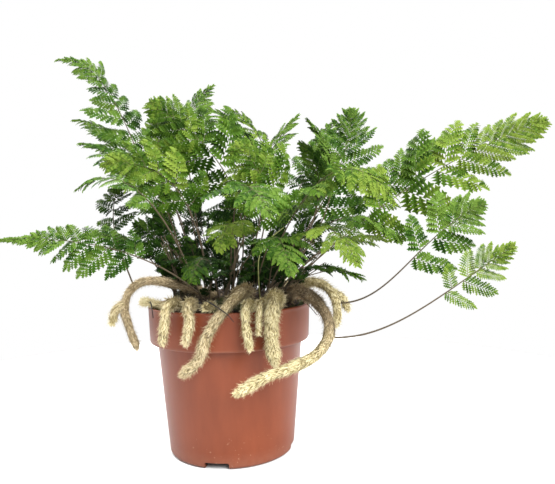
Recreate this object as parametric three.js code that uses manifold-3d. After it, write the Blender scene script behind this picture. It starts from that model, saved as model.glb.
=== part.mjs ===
// A hare's-foot fern in a round plastic nursery pot.
// Millimetres, +Z up. The origin is the middle of the pot's flat underside, and -Y is the front.
import * as THREE from "three";
import { mergeVertices } from "three/addons/utils/BufferGeometryUtils.js";
import Module from "manifold-3d";

const wasm = await Module();
wasm.setup();

// ---------- driving dimensions ----------

const CLEARANCE = 0.3; // between two pieces that touch

// pot
const RIM_RADIUS = 60;
const POT_HEIGHT = 107;
const BAND_BOTTOM = 81; // underside of the collar band
const BAND_FOOT_RADIUS = 58.8;
const WALL_TOP_RADIUS = 53.8;
const BASE_RADIUS = 46;
const BASE_ROUND = 2.6;
const WALL = 1.3;
const FLOOR = 1.8;
const EDGE_BREAK = 0.6; // small chamfer at the rim and the band
const POT_SIDES = 32;
const NOTCH_COUNT = 4;
const NOTCH_WIDTH = 17;
const NOTCH_HEIGHT = 4.5;
const NOTCH_DEPTH = 9;
const FIRST_NOTCH_ANGLE = -99; // degrees, so that one notch is almost in front

// potting mix
const SOIL_SIDES = 20;
const SOIL_EDGE_HEIGHT = 100;
const SOIL_SHOULDER_RADIUS = 48;
const SOIL_SHOULDER_HEIGHT = 108;
const SOIL_CROWN_HEIGHT = 115.5;
const SOIL_BUMP = 0.9;
const PLANTING_DEPTH = 9; // how far a stipe stands in the mix

// rhizomes
const RHIZOME_SIDES = 6;
const RHIZOME_STEP = 13; // length of one facet

// fronds
const BLADE_THICKNESS = 0.7;
const BLADE_DROOP = 0.0035; // the sides of a blade hang by this times their distance squared
const RIB_HALF_WIDTH = 0.9;
const STIPE_HALF_WIDTH = 0.8;
const STIPE_STEPS = 4;

// ---------- finishes ----------

const finish = (color, roughness) =>
  new THREE.MeshStandardMaterial({ color, roughness, metalness: 0 });

const MATERIALS = {
  terracotta: finish(0xb0644a, 0.5),
  mix: finish(0x3a2a1e, 0.95),
  pale: finish(0xd8cb9c, 0.9),
  brown: finish(0x94825a, 0.9),
  green: finish(0x5d8f35, 0.55),
  bright: finish(0x8fb83f, 0.55),
  dark: finish(0x2f5a26, 0.6),
};

// ---------- solids ----------

function solidFrom(geometry) {
  const bare = geometry.index ? geometry.toNonIndexed() : geometry.clone();
  bare.deleteAttribute("normal");
  bare.deleteAttribute("uv");
  const merged = mergeVertices(bare, 1e-3);
  return new wasm.Manifold(
    new wasm.Mesh({
      numProp: 3,
      vertProperties: new Float32Array(merged.attributes.position.array),
      triVerts: new Uint32Array(merged.index.array),
    }),
  );
}

function geometryFrom(solid) {
  const mesh = solid.getMesh();
  const geometry = new THREE.BufferGeometry();
  geometry.setAttribute("position", new THREE.BufferAttribute(mesh.vertProperties, 3));
  geometry.setIndex(new THREE.BufferAttribute(mesh.triVerts, 1));
  return geometry;
}

// A profile of [radius, height] points, turned round the Z axis.
function turned(profile, sides) {
  const points = profile.map(([radius, height]) => new THREE.Vector2(radius, height));
  return new THREE.LatheGeometry(points, sides).rotateX(Math.PI / 2);
}

// Bends a geometry that was made along +X: x runs along the path, y is its side and z its upper face.
function bendAlong(geometry, path) {
  const positions = geometry.attributes.position;
  const vertex = new THREE.Vector3();
  for (let i = 0; i < positions.count; i++) {
    vertex.fromBufferAttribute(positions, i);
    const { point, side, face } = path.at(vertex.x);
    point.addScaledVector(side, vertex.y).addScaledVector(face, vertex.z);
    positions.setXYZ(i, point.x, point.y, point.z);
  }
  return geometry;
}

// The point at a distance along a curve. Before its start and past its end the curve runs on straight.
function pointAlong(curve, length, distance) {
  const inside = THREE.MathUtils.clamp(distance, 0, length);
  const point = curve.getPointAt(inside / length);
  return point.addScaledVector(curve.getTangentAt(inside / length), distance - inside);
}

// ---------- pot ----------

function bandRadius(height) {
  const share = (height - BAND_BOTTOM) / (POT_HEIGHT - BAND_BOTTOM);
  return THREE.MathUtils.lerp(BAND_FOOT_RADIUS, RIM_RADIUS, share);
}

function wallRadius(height) {
  return THREE.MathUtils.lerp(BASE_RADIUS, WALL_TOP_RADIUS, height / BAND_BOTTOM);
}

function potGeometry() {
  const cornerInset = BASE_ROUND * 0.3;
  const ledge = BAND_BOTTOM + WALL;
  const profile = [
    [0, 0],
    [wallRadius(0) - BASE_ROUND, 0],
    [wallRadius(0) - cornerInset, cornerInset],
    [wallRadius(BASE_ROUND), BASE_ROUND],
    [WALL_TOP_RADIUS, BAND_BOTTOM],
    [BAND_FOOT_RADIUS - EDGE_BREAK, BAND_BOTTOM],
    [BAND_FOOT_RADIUS, BAND_BOTTOM + EDGE_BREAK],
    [RIM_RADIUS, POT_HEIGHT - EDGE_BREAK],
    [RIM_RADIUS - EDGE_BREAK, POT_HEIGHT],
    [RIM_RADIUS - EDGE_BREAK - WALL, POT_HEIGHT],
    [BAND_FOOT_RADIUS - WALL, ledge],
    [WALL_TOP_RADIUS - WALL, ledge],
    [wallRadius(2 * FLOOR) - WALL, 2 * FLOOR],
    [wallRadius(FLOOR) - WALL - 1, FLOOR],
    [0, FLOOR],
  ];
  let pot = solidFrom(turned(profile, POT_SIDES));
  for (let i = 0; i < NOTCH_COUNT; i++) {
    const angle = THREE.MathUtils.degToRad(FIRST_NOTCH_ANGLE + (i * 360) / NOTCH_COUNT);
    const notch = new THREE.BoxGeometry(2 * NOTCH_DEPTH, NOTCH_WIDTH, 2 * NOTCH_HEIGHT)
      .translate(BASE_RADIUS, 0, 0)
      .rotateZ(angle);
    pot = pot.subtract(solidFrom(notch));
  }
  return geometryFrom(pot);
}

// ---------- potting mix ----------

// Height of the mix at a distance from the middle: a low dome that falls off inside the rim.
function soilHeight(radius) {
  const edge = RIM_RADIUS - WALL - 1;
  if (radius > SOIL_SHOULDER_RADIUS) {
    const share = (radius - SOIL_SHOULDER_RADIUS) / (edge - SOIL_SHOULDER_RADIUS);
    return THREE.MathUtils.lerp(SOIL_SHOULDER_HEIGHT, SOIL_EDGE_HEIGHT, share);
  }
  const share = radius / SOIL_SHOULDER_RADIUS;
  return THREE.MathUtils.lerp(SOIL_CROWN_HEIGHT, SOIL_SHOULDER_HEIGHT, share * share);
}

function soilBump(x, y) {
  return SOIL_BUMP * (Math.sin(0.31 * x + 1) * Math.sin(0.27 * y) + Math.sin(0.53 * (x + y)));
}

function soilSolid() {
  const inset = WALL + 2 * CLEARANCE;
  const bandInset = inset + EDGE_BREAK;
  const ledge = BAND_BOTTOM + WALL + CLEARANCE;
  const profile = [
    [0, FLOOR + CLEARANCE],
    [wallRadius(FLOOR) - inset - 1, FLOOR + CLEARANCE],
    [wallRadius(2 * FLOOR) - inset, 2 * FLOOR + CLEARANCE],
    [WALL_TOP_RADIUS - inset, ledge],
    [bandRadius(ledge) - bandInset, ledge],
    [bandRadius(SOIL_EDGE_HEIGHT) - bandInset, SOIL_EDGE_HEIGHT],
  ];
  for (const radius of [SOIL_SHOULDER_RADIUS, 34, 18]) {
    profile.push([radius, soilHeight(radius)]);
  }
  profile.push([0, SOIL_CROWN_HEIGHT]);
  const geometry = turned(profile, SOIL_SIDES);
  const positions = geometry.attributes.position;
  for (let i = 0; i < positions.count; i++) {
    const x = positions.getX(i);
    const y = positions.getY(i);
    if (positions.getZ(i) > SOIL_EDGE_HEIGHT + 1 && Math.hypot(x, y) > 1) {
      positions.setZ(i, positions.getZ(i) + soilBump(x, y));
    }
  }
  return solidFrom(geometry);
}

// ---------- rhizomes ----------

// Each rhizome: its name, colour, radius, and the points that its middle line passes.
// It starts in the mix, goes over the rim and hangs outside. A branch is grown on to it.
const RHIZOMES = [
  {
    name: "rhizome_left_arch",
    color: "brown",
    radius: 5,
    route: [
      [-6, -29, 115], [-26, -30, 121], [-44, -31, 126], [-58, -31, 126],
      [-67, -32, 119], [-70, -33, 108], [-67, -34, 96], [-61, -35, 80],
    ],
    branch: { radius: 3.8, route: [[-69, -33, 112], [-76, -33, 107], [-79, -33, 97]] },
  },
  {
    name: "rhizome_left_rim",
    color: "pale",
    radius: 3.2,
    route: [[-38, -31, 106], [-47, -29, 110], [-55, -23, 110.8], [-61, -14, 110.5], [-64, -4, 108.5]],
  },
  {
    name: "rhizome_front_left",
    color: "pale",
    radius: 4.6,
    route: [[-28, -37, 108], [-33, -48, 113], [-36, -57, 111], [-37, -58, 102], [-39, -57, 87]],
  },
  {
    name: "rhizome_front_left_middle",
    color: "pale",
    radius: 4.6,
    route: [[-20, -40, 107], [-21, -52, 112.5], [-21, -63, 110], [-20, -64, 102], [-23, -63, 88]],
  },
  {
    name: "rhizome_front_stub",
    color: "pale",
    radius: 3.4,
    route: [[-6, -47, 107], [-8, -56, 112], [-10, -62, 111]],
  },
  {
    name: "rhizome_front_slanting",
    color: "pale",
    radius: 5,
    route: [
      [14, -27, 112], [16, -39, 119.5], [10, -56, 117.5], [0, -66, 107],
      [-9, -67, 93], [-14, -65, 79], [-26, -62, 68],
    ],
  },
  {
    name: "rhizome_front_middle",
    color: "pale",
    radius: 3.8,
    route: [[21, -43, 106], [18, -55, 111.5], [16, -65, 109], [16, -66, 100], [18, -65, 84]],
  },
  {
    name: "rhizome_front_thin",
    color: "pale",
    radius: 2.8,
    route: [[27, -42, 107], [26, -53, 112.5], [24.5, -61, 109], [24, -62, 102], [23.5, -62, 93]],
  },
  {
    name: "rhizome_front_right",
    color: "pale",
    radius: 5.8,
    route: [[36, -36, 108], [35, -48, 115], [33.5, -60, 111], [32, -62, 100], [32, -61, 86], [34, -61, 73]],
  },
  {
    name: "rhizome_big_loop",
    color: "pale",
    radius: 5.6,
    route: [
      [42, -12, 107], [47, -27, 117], [55, -44, 117], [64, -59, 110], [68, -66, 101],
      [67, -70, 91], [59, -74, 82], [44, -76, 75], [29, -77, 70], [9, -75, 59],
    ],
  },
  {
    name: "rhizome_right_arch",
    color: "pale",
    radius: 4.6,
    route: [
      [41, 3, 108], [50, -3, 115], [61, -12, 122], [71, -20, 119],
      [77, -24, 111], [78, -26, 102], [77, -26, 91],
    ],
    branch: { radius: 3.6, route: [[74, -21, 116], [82, -24, 111], [86, -25, 102]] },
  },
  {
    name: "rhizome_back_left",
    color: "brown",
    radius: 4.6,
    route: [[-24, 30, 109], [-34, 42, 115], [-42, 51, 111], [-43, 52, 100], [-45, 50, 84]],
  },
  {
    name: "rhizome_back_middle",
    color: "pale",
    radius: 4.4,
    route: [[2, 36, 109], [6, 50, 114], [9, 63, 111], [10, 65, 100], [4, 64, 82]],
  },
  {
    name: "rhizome_back_right",
    color: "pale",
    radius: 5,
    route: [
      [32, 28, 109], [42, 38, 116], [52, 47, 112], [56, 50, 102],
      [52, 52, 88], [42, 58, 76],
    ],
  },
];

// A sausage along +X with round ends, uneven along its length, from before the start to past the end.
function sausage(radius, length, extra) {
  const steps = Math.max(4, Math.round(length / RHIZOME_STEP));
  const cap = radius * 1.1;
  const wide = radius + extra;
  const profile = [
    new THREE.Vector2(0, -extra),
    new THREE.Vector2(wide * 0.75, cap * 0.3 - extra),
  ];
  for (let i = 0; i <= steps; i++) {
    const share = i / steps;
    const wave = 1 + 0.05 * Math.sin(7 * share + radius);
    profile.push(new THREE.Vector2(wide * wave, THREE.MathUtils.lerp(cap, length - 2 * cap, share)));
  }
  profile.push(new THREE.Vector2(wide * 0.72, length - 0.8 * cap + extra));
  profile.push(new THREE.Vector2(0, length + extra));
  return new THREE.LatheGeometry(profile, RHIZOME_SIDES).rotateZ(-Math.PI / 2);
}

// A smooth path through points, with a frame that doesn't twist.
function routePath(route) {
  const curve = new THREE.CatmullRomCurve3(route.map((p) => new THREE.Vector3(...p)));
  const length = curve.getLength();
  const samples = 120;
  const frames = curve.computeFrenetFrames(samples, false);
  return {
    length,
    at(distance) {
      const share = THREE.MathUtils.clamp(distance / length, 0, 1);
      const i = Math.round(share * samples);
      const point = pointAlong(curve, length, distance);
      return { point, side: frames.normals[i], face: frames.binormals[i] };
    },
  };
}

function rhizomeSolid({ radius, route, branch }, extra = 0) {
  const path = routePath(route);
  const stem = solidFrom(bendAlong(sausage(radius, path.length, extra), path));
  return branch ? stem.add(rhizomeSolid(branch, extra)) : stem;
}

// ---------- fronds ----------

// Each frond is one curve from its root to its tip. root and tip are its ends, rise and arch the handles
// that give the way it leaves the root and the way it comes to the tip. bare is the share of the curve
// that is stipe, without leaflets. width is the blade's, and turn (degrees) rolls it about its rib, from
// 0, upper face up. A root with two numbers stands in the potting mix, one with three in a rhizome.
const FRONDS = [
  // left side
  { name: "frond_left_top", color: "green", root: [-31, 8], rise: [-60, 14, 183], arch: [-84, 16, 306],
    tip: [-132, 16, 298], bare: 0.57, width: 58, turn: -50, pairs: 7 },
  { name: "frond_left_high", color: "green", root: [-36, 20], rise: [-54, 48, 183], arch: [-87, 62, 257],
    tip: [-138, 60, 261], bare: 0.55, width: 58, turn: -35, pairs: 7 },
  { name: "frond_left_inner", color: "bright", root: [-22, 17], rise: [-38, 34, 174], arch: [-67, 42, 216],
    tip: [-60, 44, 266], bare: 0.6, width: 46, turn: 80, pairs: 6 },
  { name: "frond_left_middle", color: "green", root: [-31, -9], rise: [-32, -12, 173], arch: [-54, -16, 221],
    tip: [-106, -12, 227], bare: 0.52, width: 56, turn: -12, pairs: 6 },
  { name: "frond_left_front", color: "bright", root: [-15, -18], rise: [-11, -34, 167],
    arch: [-28, -44, 215], tip: [-78, -47, 206], bare: 0.5, width: 60, turn: -70, pairs: 7 },
  { name: "frond_left_lower", color: "green", root: [-12, -37], rise: [-26, -64, 162], arch: [-50, -78, 212],
    tip: [-84, -80, 186], bare: 0.6, width: 42, turn: -14, pairs: 6 },
  { name: "frond_far_left", color: "green", root: [-3, -38], rise: [-25, -58, 138], arch: [-69, -66, 161],
    tip: [-145, -58, 157], bare: 0.42, width: 60, turn: -55, pairs: 8 },
  { name: "frond_left_foot", color: "dark", root: [-64, -31, 124], rise: [-74, -28, 150],
    arch: [-86, -22, 168], tip: [-82, 2, 198], bare: 0.5, width: 40, turn: 0, pairs: 5 },
  { name: "frond_top_left", color: "green", root: [-13, 15], rise: [-34, 35, 188], arch: [-52, 58, 263],
    tip: [-17, 70, 291], bare: 0.64, width: 48, turn: 45, pairs: 6 },
  { name: "frond_top_left_back", color: "dark", root: [-20, 24], rise: [-38, 60, 198],
    arch: [-66, 92, 262], tip: [-62, 112, 282], bare: 0.6, width: 54, turn: 0, pairs: 6 },
  { name: "frond_broad_left", color: "bright", root: [3, -8], rise: [26, -16, 172], arch: [5, -18, 219],
    tip: [-54, -16, 255], bare: 0.45, width: 84, turn: -76, pairs: 8 },
  // middle
  { name: "frond_middle_top", color: "green", root: [7, 12], rise: [44, 25, 185], arch: [33, 38, 237],
    tip: [-20, 44, 266], bare: 0.6, width: 58, turn: -15, pairs: 7 },
  { name: "frond_middle_back", color: "bright", root: [11, 26], rise: [50, 60, 187], arch: [40, 90, 248],
    tip: [-9, 104, 281], bare: 0.6, width: 60, turn: -20, pairs: 7 },
  { name: "frond_middle_right", color: "green", root: [0, 3], rise: [9, 8, 181], arch: [27, 14, 222],
    tip: [55, 10, 249], bare: 0.58, width: 46, turn: 35, pairs: 6 },
  { name: "frond_middle_broad", color: "bright", root: [8, -13], rise: [22, -34, 159], arch: [43, -44, 198],
    tip: [9, -42, 218], bare: 0.5, width: 66, turn: -72, pairs: 7 },
  { name: "frond_middle_yellow", color: "bright", root: [4, -31], rise: [12, -52, 160],
    arch: [10, -78, 181], tip: [4, -99, 148], bare: 0.52, width: 40, turn: 0, pairs: 5 },
  { name: "frond_middle_low", color: "dark", root: [-3, -33], rise: [-5, -52, 138], arch: [-8, -68, 158],
    tip: [-14, -88, 130], bare: 0.5, width: 38, turn: 0, pairs: 5 },
  { name: "frond_middle_front", color: "green", root: [1, -22], rise: [8, -48, 170], arch: [11, -85, 211],
    tip: [34, -124, 166], bare: 0.5, width: 62, turn: 0, pairs: 7 },
  // right side
  { name: "frond_right_curled", color: "green", root: [20, 0], rise: [80, -6, 156], arch: [94, -6, 206],
    tip: [61, -4, 243], bare: 0.58, width: 48, turn: 0, pairs: 6 },
  { name: "frond_right_curled_low", color: "green", root: [24, -8], rise: [68, -16, 156],
    arch: [80, -22, 199], tip: [54, -25, 222], bare: 0.6, width: 42, turn: 20, pairs: 6 },
  { name: "frond_right_top_back", color: "green", root: [17, 20], rise: [48, 40, 186], arch: [74, 60, 232],
    tip: [91, 82, 260], bare: 0.52, width: 66, turn: 10, pairs: 7 },
  { name: "frond_far_right", color: "bright", root: [27, -2], rise: [87, -5, 156], arch: [138, -15, 205],
    tip: [229, -25, 233], bare: 0.38, width: 82, turn: 68, pairs: 8 },
  { name: "frond_right_back", color: "green", root: [32, 8], rise: [91, 26, 156], arch: [133, 40, 213],
    tip: [191, 48, 240], bare: 0.42, width: 76, turn: 60, pairs: 8 },
  { name: "frond_right_top", color: "green", root: [24, 8], rise: [67, 18, 172], arch: [98, 22, 212],
    tip: [99, 28, 258], bare: 0.48, width: 70, turn: 0, pairs: 7 },
  { name: "frond_right_front", color: "bright", root: [20, -14], rise: [42, -64, 172], arch: [74, -88, 226],
    tip: [102, -108, 172], bare: 0.45, width: 74, turn: 10, pairs: 8 },
  { name: "frond_middle_low_right", color: "green", root: [17, -24], rise: [31, -46, 160],
    arch: [38, -80, 170], tip: [44, -104, 134], bare: 0.52, width: 40, turn: 0, pairs: 6 },
  { name: "frond_right_front_low", color: "bright", root: [23, -26], rise: [48, -50, 166],
    arch: [70, -84, 176], tip: [81, -108, 138], bare: 0.54, width: 44, turn: 0, pairs: 6 },
  { name: "frond_right_small", color: "green", root: [29, -13], rise: [62, -34, 176], arch: [92, -54, 180],
    tip: [114, -68, 150], bare: 0.58, width: 42, turn: 0, pairs: 5 },
  { name: "frond_right_small_low", color: "dark", root: [31, -24], rise: [44, -46, 142],
    arch: [64, -62, 140], tip: [90, -72, 128], bare: 0.52, width: 40, turn: 0, pairs: 5 },
  { name: "frond_right_foot", color: "green", root: [77, -25, 108], rise: [113, -42, 106],
    arch: [128, -50, 155], tip: [172, -56, 174], bare: 0.5, width: 64, turn: 74, pairs: 7 },
  { name: "frond_loop_foot", color: "bright", root: [67, -69, 92], rise: [106, -62, 86],
    arch: [140, -68, 118], tip: [180, -80, 147], bare: 0.6, width: 42, turn: 66, pairs: 6 },
  // low and inside, behind the stipes
  { name: "frond_inner_left", color: "dark", root: [-32, 29], rise: [-38, 37, 134], arch: [-45, 44, 158],
    tip: [-68, 50, 174], bare: 0.46, width: 56, turn: 78, pairs: 4 },
  { name: "frond_inner_left_middle", color: "dark", root: [-17, 33], rise: [-18, 39, 134],
    arch: [-25, 44, 160], tip: [-33, 55, 192], bare: 0.46, width: 58, turn: 84, pairs: 4 },
  { name: "frond_inner_middle", color: "green", root: [4, 32], rise: [2, 40, 136], arch: [8, 46, 164],
    tip: [-4, 48, 188], bare: 0.46, width: 58, turn: 86, pairs: 4 },
  { name: "frond_inner_right_middle", color: "dark", root: [19, 39], rise: [26, 48, 134],
    arch: [35, 39, 172], tip: [44, 54, 189], bare: 0.46, width: 58, turn: -61, pairs: 4 },
  { name: "frond_inner_right", color: "dark", root: [28, 21], rise: [39, 31, 128], arch: [50, 39, 159],
    tip: [73, 51, 164], bare: 0.46, width: 56, turn: -83, pairs: 4 },
  { name: "frond_inner_front_left", color: "green", root: [-23, -8], rise: [-31, -6, 139],
    arch: [-44, 3, 156], tip: [-72, 5, 167], bare: 0.46, width: 44, turn: 72, pairs: 4 },
  // back, away from the photographed side
  { name: "frond_back_left_high", color: "green", root: [-22, 22], rise: [-42, 62, 176],
    arch: [-66, 98, 216], tip: [-98, 128, 206], bare: 0.5, width: 68, turn: 0, pairs: 7 },
  { name: "frond_back_left_low", color: "green", root: [-36, 6], rise: [-66, 26, 150],
    arch: [-96, 44, 172], tip: [-132, 60, 158], bare: 0.45, width: 62, turn: 0, pairs: 7 },
  { name: "frond_back_middle", color: "dark", root: [-6, 28], rise: [-12, 66, 165], arch: [-12, 104, 196],
    tip: [-16, 150, 172], bare: 0.45, width: 68, turn: 0, pairs: 7 },
  { name: "frond_back_right_high", color: "green", root: [22, 27], rise: [44, 70, 180],
    arch: [66, 104, 214], tip: [92, 138, 196], bare: 0.5, width: 66, turn: 0, pairs: 7 },
  { name: "frond_back_right_low", color: "bright", root: [31, 19], rise: [66, 44, 146],
    arch: [100, 70, 164], tip: [138, 92, 150], bare: 0.45, width: 62, turn: 0, pairs: 7 },
];

function frondPath({ root, rise, arch, tip, turn }) {
  const [x, y, z] = root;
  const foot = new THREE.Vector3(x, y, z ?? soilHeight(Math.hypot(x, y)) - PLANTING_DEPTH);
  const handles = [rise, arch, tip].map((p) => new THREE.Vector3(...p));
  const curve = new THREE.CubicBezierCurve3(foot, ...handles);
  const length = curve.getLength();
  const outward = new THREE.Vector3(tip[0] - arch[0], tip[1] - arch[1], 0).normalize();
  const level = new THREE.Vector3(-outward.y, outward.x, 0);
  const roll = THREE.MathUtils.degToRad(turn);
  return {
    length,
    at(distance) {
      const along = curve.getTangentAt(THREE.MathUtils.clamp(distance / length, 0, 1));
      const side = level.clone().addScaledVector(along, -level.dot(along)).normalize();
      const face = along.clone().cross(side);
      side.applyAxisAngle(along, roll);
      face.applyAxisAngle(along, roll);
      return { point: pointAlong(curve, length, distance), side, face };
    },
  };
}

// The lobes along one edge of a leaflet, as [share of its length, share of its half width] points, for a
// plain leaflet, one with a shoulder and one with two lobes and a cut between them.
const LEAFLET_EDGES = [
  [[0.3, 0.8]],
  [[0.14, 0.85], [0.5, 0.62]],
  [[0.12, 0.95], [0.36, 0.36], [0.5, 0.84]],
];

// Where a leaflet starts on its rib. They come closer together towards the tip.
function leafletStart(length, share) {
  return 0.95 * length * (1 - Math.pow(1 - share, 1.15));
}

// The leaflets on one side of a blade whose rib starts at x = foot, each as a flat outline that begins
// and ends on the rib. The blade is widest near its foot, and its leaflets lean forwards more towards
// the tip.
function bladeLeaflets(foot, length, width, pairs) {
  const leaflets = [];
  for (let i = 0; i < pairs; i++) {
    const share = i / pairs;
    const start = foot + leafletStart(length, share);
    const end = foot + leafletStart(length, (i + 1) / pairs);
    const lean = THREE.MathUtils.degToRad(66 - 22 * share);
    const reach = (0.5 * width * Math.pow(1 - share, 0.8)) / Math.sin(lean);
    const halfWidth = 0.485 * (end - start);
    const middle = (start + end) / 2;
    const lobes = pairs < 5 || share > 0.6 ? 0 : share > 0 ? 1 : 2;
    const place = (out, forward) => [
      middle + reach * out * Math.cos(lean) + halfWidth * forward,
      RIB_HALF_WIDTH + reach * out * Math.sin(lean),
    ];
    const nearEdge = LEAFLET_EDGES[lobes].map(([out, wide]) => place(out, -wide));
    const farEdge = LEAFLET_EDGES[lobes].map(([out, wide]) => place(out, wide)).reverse();
    leaflets.push([[start, RIB_HALF_WIDTH], ...nearEdge, place(1, 0), ...farEdge, [end, RIB_HALF_WIDTH]]);
  }
  return leaflets;
}

// The rib as flat patches, one between each two distances. The stipe is a little narrower.
function ribPatches(distances, foot) {
  const patches = [];
  for (let i = 1; i < distances.length; i++) {
    const [from, to] = [distances[i - 1], distances[i]];
    const narrow = from < foot ? STIPE_HALF_WIDTH : RIB_HALF_WIDTH;
    const wide = to < foot ? STIPE_HALF_WIDTH : RIB_HALF_WIDTH;
    patches.push([[from, -narrow], [to, -wide], [to, wide], [from, narrow]]);
  }
  return patches;
}

// A closed plate made of flat patches that share edges: two faces for each patch, split into triangles
// alike, and a wall on each edge that only one patch has. Patches run anticlockwise, z from -1 to 1.
function plateFrom(patches) {
  const name = (from, to) => [...from, ...to].map((value) => value.toFixed(3)).join(" ");
  const edges = new Set();
  for (const patch of patches) {
    patch.forEach((point, i) => edges.add(name(point, patch[(i + 1) % patch.length])));
  }
  const positions = [];
  const put = ([x, y], z) => positions.push(x, y, z);
  for (const patch of patches) {
    const contour = patch.map(([x, y]) => new THREE.Vector2(x, y));
    for (const corners of THREE.ShapeUtils.triangulateShape(contour, [])) {
      corners.forEach((k) => put(patch[k], 1));
      corners.reverse().forEach((k) => put(patch[k], -1));
    }
    patch.forEach((point, i) => {
      const next = patch[(i + 1) % patch.length];
      if (edges.has(name(next, point))) return;
      put(point, -1);
      put(next, -1);
      put(next, 1);
      put(point, -1);
      put(next, 1);
      put(point, 1);
    });
  }
  return new THREE.BufferGeometry().setAttribute("position", new THREE.Float32BufferAttribute(positions, 3));
}

// A frond is a square stipe that runs on into the rib of a thin cut blade, drawn flat along +X and then
// bent along its path. The sides of the blade hang down a little.
function frondGeometry(frond) {
  const path = frondPath(frond);
  const foot = path.length * frond.bare;
  const leaflets = bladeLeaflets(foot, path.length - foot, frond.width, frond.pairs);
  const distances = [];
  for (let i = 0; i < STIPE_STEPS; i++) distances.push((foot * i) / STIPE_STEPS);
  distances.push(...leaflets.map((leaflet) => leaflet[0][0]), leaflets.at(-1).at(-1)[0]);
  const bladeEnd = distances.at(-1);
  const ribTip = [[bladeEnd, -RIB_HALF_WIDTH], [path.length, 0], [bladeEnd, RIB_HALF_WIDTH]];
  const upper = leaflets.map((leaflet) => leaflet.slice().reverse());
  const lower = leaflets.map((leaflet) => leaflet.map(([x, y]) => [x, -y]));
  const flat = plateFrom([...ribPatches(distances, foot), ribTip, ...upper, ...lower]);
  const positions = flat.attributes.position;
  for (let i = 0; i < positions.count; i++) {
    const y = positions.getY(i);
    const half = positions.getX(i) < foot - 1e-3 ? STIPE_HALF_WIDTH : BLADE_THICKNESS / 2;
    positions.setZ(i, positions.getZ(i) * half - BLADE_DROOP * y * y);
  }
  return bendAlong(flat, path);
}

// What is taken out for a stipe to stand in: a square hole round the first facet of the stipe.
function rootHole(frond) {
  const path = frondPath(frond);
  const length = (path.length * frond.bare) / STIPE_STEPS;
  const width = 2 * (STIPE_HALF_WIDTH + CLEARANCE);
  const hole = new THREE.BoxGeometry(length, width, width).translate(length / 2, 0, 0);
  const positions = hole.attributes.position;
  for (let i = 0; i < positions.count; i++) {
    if (positions.getX(i) < CLEARANCE) positions.setX(i, -2 * CLEARANCE);
  }
  return solidFrom(bendAlong(hole, path));
}

// ---------- the whole plant in its pot ----------

const plant = new THREE.Group();

function addPiece(name, geometry, material) {
  const mesh = new THREE.Mesh(geometry, material);
  mesh.name = name;
  plant.add(mesh);
}

addPiece("pot", potGeometry(), MATERIALS.terracotta);

let soil = soilSolid();
for (const rhizome of RHIZOMES) {
  soil = soil.subtract(rhizomeSolid(rhizome, CLEARANCE));
}
for (const frond of FRONDS.filter(({ root }) => root.length === 2)) {
  soil = soil.subtract(rootHole(frond));
}
addPiece("potting_mix", geometryFrom(soil), MATERIALS.mix);

const FOOT_FRONDS = FRONDS.filter(({ root }) => root.length === 3);
for (const rhizome of RHIZOMES) {
  let solid = rhizomeSolid(rhizome);
  for (const frond of FOOT_FRONDS) {
    solid = solid.subtract(rootHole(frond));
  }
  addPiece(rhizome.name, geometryFrom(solid), MATERIALS[rhizome.color]);
}

for (const frond of FRONDS) {
  addPiece(frond.name, frondGeometry(frond), MATERIALS[frond.color]);
}

export default plant;
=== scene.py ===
# %% [markdown]
# # A hare's-foot fern in a plastic nursery pot
# The solids of the plant are already there, in metres, with the origin in the middle of the pot's flat
# underside. They give each piece its place and its form. This lesson dresses them: every frond gets its
# fine leaflets, every rhizome its fur, the potting mix its crumbs and the pot its moulded plastic.

# %% Load the solids
import math
import random
from collections import namedtuple

import bpy
import numpy as np
from mathutils import Matrix, Vector


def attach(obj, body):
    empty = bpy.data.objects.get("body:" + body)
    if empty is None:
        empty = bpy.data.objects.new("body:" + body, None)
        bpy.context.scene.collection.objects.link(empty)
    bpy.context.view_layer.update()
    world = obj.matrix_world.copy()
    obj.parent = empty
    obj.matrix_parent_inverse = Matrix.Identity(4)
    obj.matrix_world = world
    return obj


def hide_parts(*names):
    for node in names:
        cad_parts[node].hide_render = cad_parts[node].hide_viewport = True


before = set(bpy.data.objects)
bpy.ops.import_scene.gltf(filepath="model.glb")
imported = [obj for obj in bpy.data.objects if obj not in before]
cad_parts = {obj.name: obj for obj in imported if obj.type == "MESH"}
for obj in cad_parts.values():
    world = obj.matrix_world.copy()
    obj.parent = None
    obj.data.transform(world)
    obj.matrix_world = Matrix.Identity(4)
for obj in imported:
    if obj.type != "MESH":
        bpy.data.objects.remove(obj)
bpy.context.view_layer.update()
MM = 0.001

# %% [markdown]
# ## The camera
# The photograph was taken from the height of the leaves, some 40 cm from the pot, with a lens that sees
# about 55 degrees. The pot stands a little left of the middle and leans about one degree, because the
# camera was tilted. So the camera is built in three steps: moved, aimed at the horizon with a slight dip,
# and then rolled about its own axis.

# %% Place the camera
CAMERA_PLACE = (0.037, -0.400, 0.1537)
CAMERA_DIP = math.radians(0.29)
CAMERA_ROLL = math.radians(1.27)
SENSOR_WIDTH = 36
LENS = 34.39

camera = bpy.data.objects.new("camera", bpy.data.cameras.new("camera"))
camera.data.sensor_width = SENSOR_WIDTH
camera.data.lens = LENS
camera.data.clip_start = 0.01
camera.matrix_world = (
    Matrix.Translation(CAMERA_PLACE)
    @ Matrix.Rotation(math.pi / 2 - CAMERA_DIP, 4, "X")
    @ Matrix.Rotation(-CAMERA_ROLL, 4, "Z")
)
bpy.context.scene.collection.objects.link(camera)
bpy.context.scene.camera = camera
print("camera at", CAMERA_PLACE, "lens", LENS)

# %% [markdown]
# ## Shader maths that reads like arithmetic
# A procedural finish is a sum of noises, steps and masks. Written node by node it is long and hard to
# read, so one small class wraps an output socket: `noise * 0.5 + 0.2` then adds the Math nodes itself.
# Its method `node` makes any other node, and `tint` mixes two colours, which a Math node can't do. The
# functions under it make what every finish needs: a ramp, the marks of a drawing, a noise, a surface.

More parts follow.
